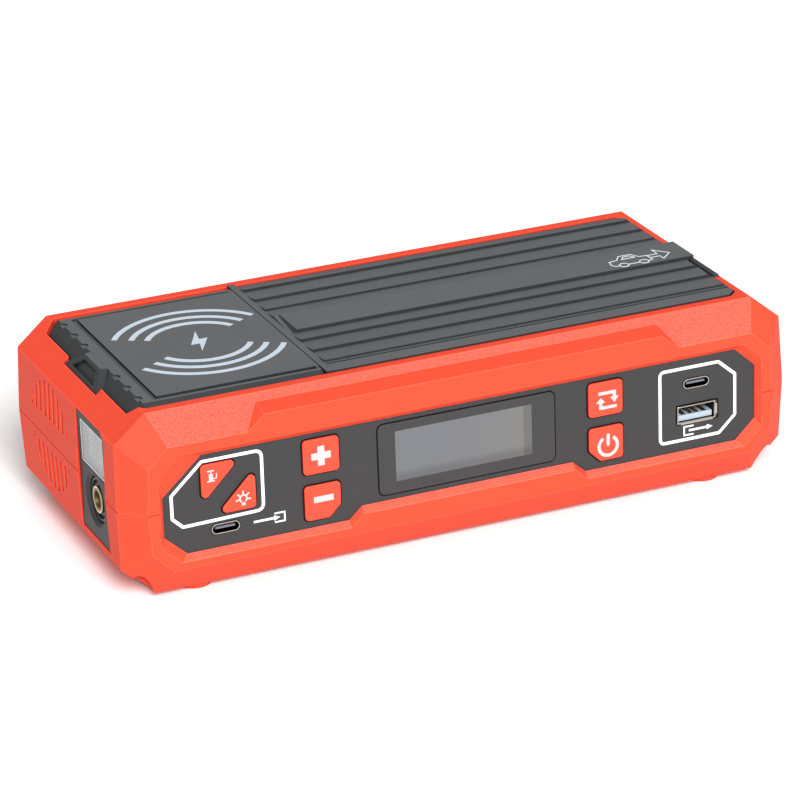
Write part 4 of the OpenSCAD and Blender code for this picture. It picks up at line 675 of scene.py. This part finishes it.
def large_port():
    """Tongue, contacts, rim and lip of the large port, with dark blocks and a dark ring of painted shade for
    its slots and its gap.
    """
    low, high = box_mm("usb_a_output")
    solid_low, solid_high = box_mm("usb_a_tongue")
    middle = (low[0] + high[0]) / 2
    cz = (low[2] + high[2]) / 2
    # The tongue is the CAD one mirrored into the lower half, with a full-height holder behind it.
    flat, base = 2 * cz - solid_low[2], 2 * cz - solid_high[2]
    left, front = solid_low[:2]
    right, back, top = solid_high
    tongue = blocks("port_tongue", [
        ((left, front, base), (right, back - HOLDER, flat)),
        ((left, back - HOLDER, base), (right, back, top)),
    ], "base", "port_white", 0.12)
    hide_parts("usb_a_tongue")
    places = [middle + x for x in CONTACT_X]
    # Painted shade: dark blocks on the tongue stand in for the shade in its contact slots.
    slots = [((x - 0.75, front + 0.5, flat - 0.1), (x + 0.75, back - HOLDER, flat + 0.03)) for x in places]
    blocks("port_slot_shade", slots, "base", "port_dark")
    contacts = [((x - 0.4, front + 0.8, flat - 0.05), (x + 0.4, back - 3.2, flat + 0.12)) for x in places]
    blocks("port_contacts", contacts, "base", "contact_gold", 0.03)
    wide, tall = high[0] - low[0], high[2] - low[2]
    # Painted shade: a dark ring stands in for the shade in the gap round the port.
    gap = ring(middle + 0.3, cz + 0.1, wide + 1.1, tall + 0.5, 0.6, 0.5)
    mark("port_gap", gap, on_front(PANEL_Y * MM), "base", "port_dark", 0.04 * MM)
    rim = ring(middle, cz, wide - 0.3, tall - 0.3, 0.8, 0.32)
    mark("port_rim", rim, on_front(low[1] * MM), "base", "port_steel", 0.12 * MM)
    under = ((low[0] + 1.2, -50.25, low[2] - 0.35), (high[0] - 0.9, -49.9, low[2] + 0.25))
    beside = ((high[0] - 0.05, -50.2, low[2] + 1.2), (high[0] + 0.6, -49.9, high[2] - 1.0))
    blocks("port_lip", [under, beside], "base", "port_steel", 0.1)


# ---- scene -----------------------------------------------------------------------------

def studio():
    """Pale floor, pale sky, a broad sun from the front and above, and the camera."""
    bm = bmesh.new()
    bmesh.ops.create_grid(bm, x_segments=1, y_segments=1, size=FLOOR_HALF)
    floor = add_mesh("floor", bm)
    paint = Graph("floor").finish(Base_Color=(FLOOR_TONE, FLOOR_TONE, FLOOR_TONE, 1), Roughness=0.9)
    floor.data.materials.append(paint)

    world = bpy.data.worlds.new("studio")
    world.use_nodes = True
    sky = world.node_tree.nodes["Background"]
    sky.inputs["Color"].default_value = (1, 1, 1, 1)
    sky.inputs["Strength"].default_value = SKY_STRENGTH
    bpy.context.scene.world = world

    sun = bpy.data.lights.new("key", "SUN")
    sun.energy = SUN_ENERGY
    sun.angle = math.radians(SUN_ANGLE)
    add_object("key", sun).rotation_euler = Vector(SUN_DIRECTION).to_track_quat("-Z", "Y").to_euler()

    data = bpy.data.cameras.new("camera")
    data.lens = CAMERA_LENS
    data.sensor_width = SENSOR
    data.clip_start, data.clip_end = CLIP
    camera = add_object("camera", data)
    turn = Matrix((CAMERA_RIGHT, CAMERA_UP, CAMERA_BACK)).transposed()
    camera.matrix_world = Matrix.Translation(CAMERA_AT) @ turn.to_4x4()
    bpy.context.scene.camera = camera
    bpy.context.scene.view_settings.view_transform = "Standard"


dress_nodes()
pad_marks()
car_icon()
panel_frames()
key_icons()
display_window()
gap_shade_lines()
port_arrows()
lamp_end()
oval_ports()
large_port()
studio()
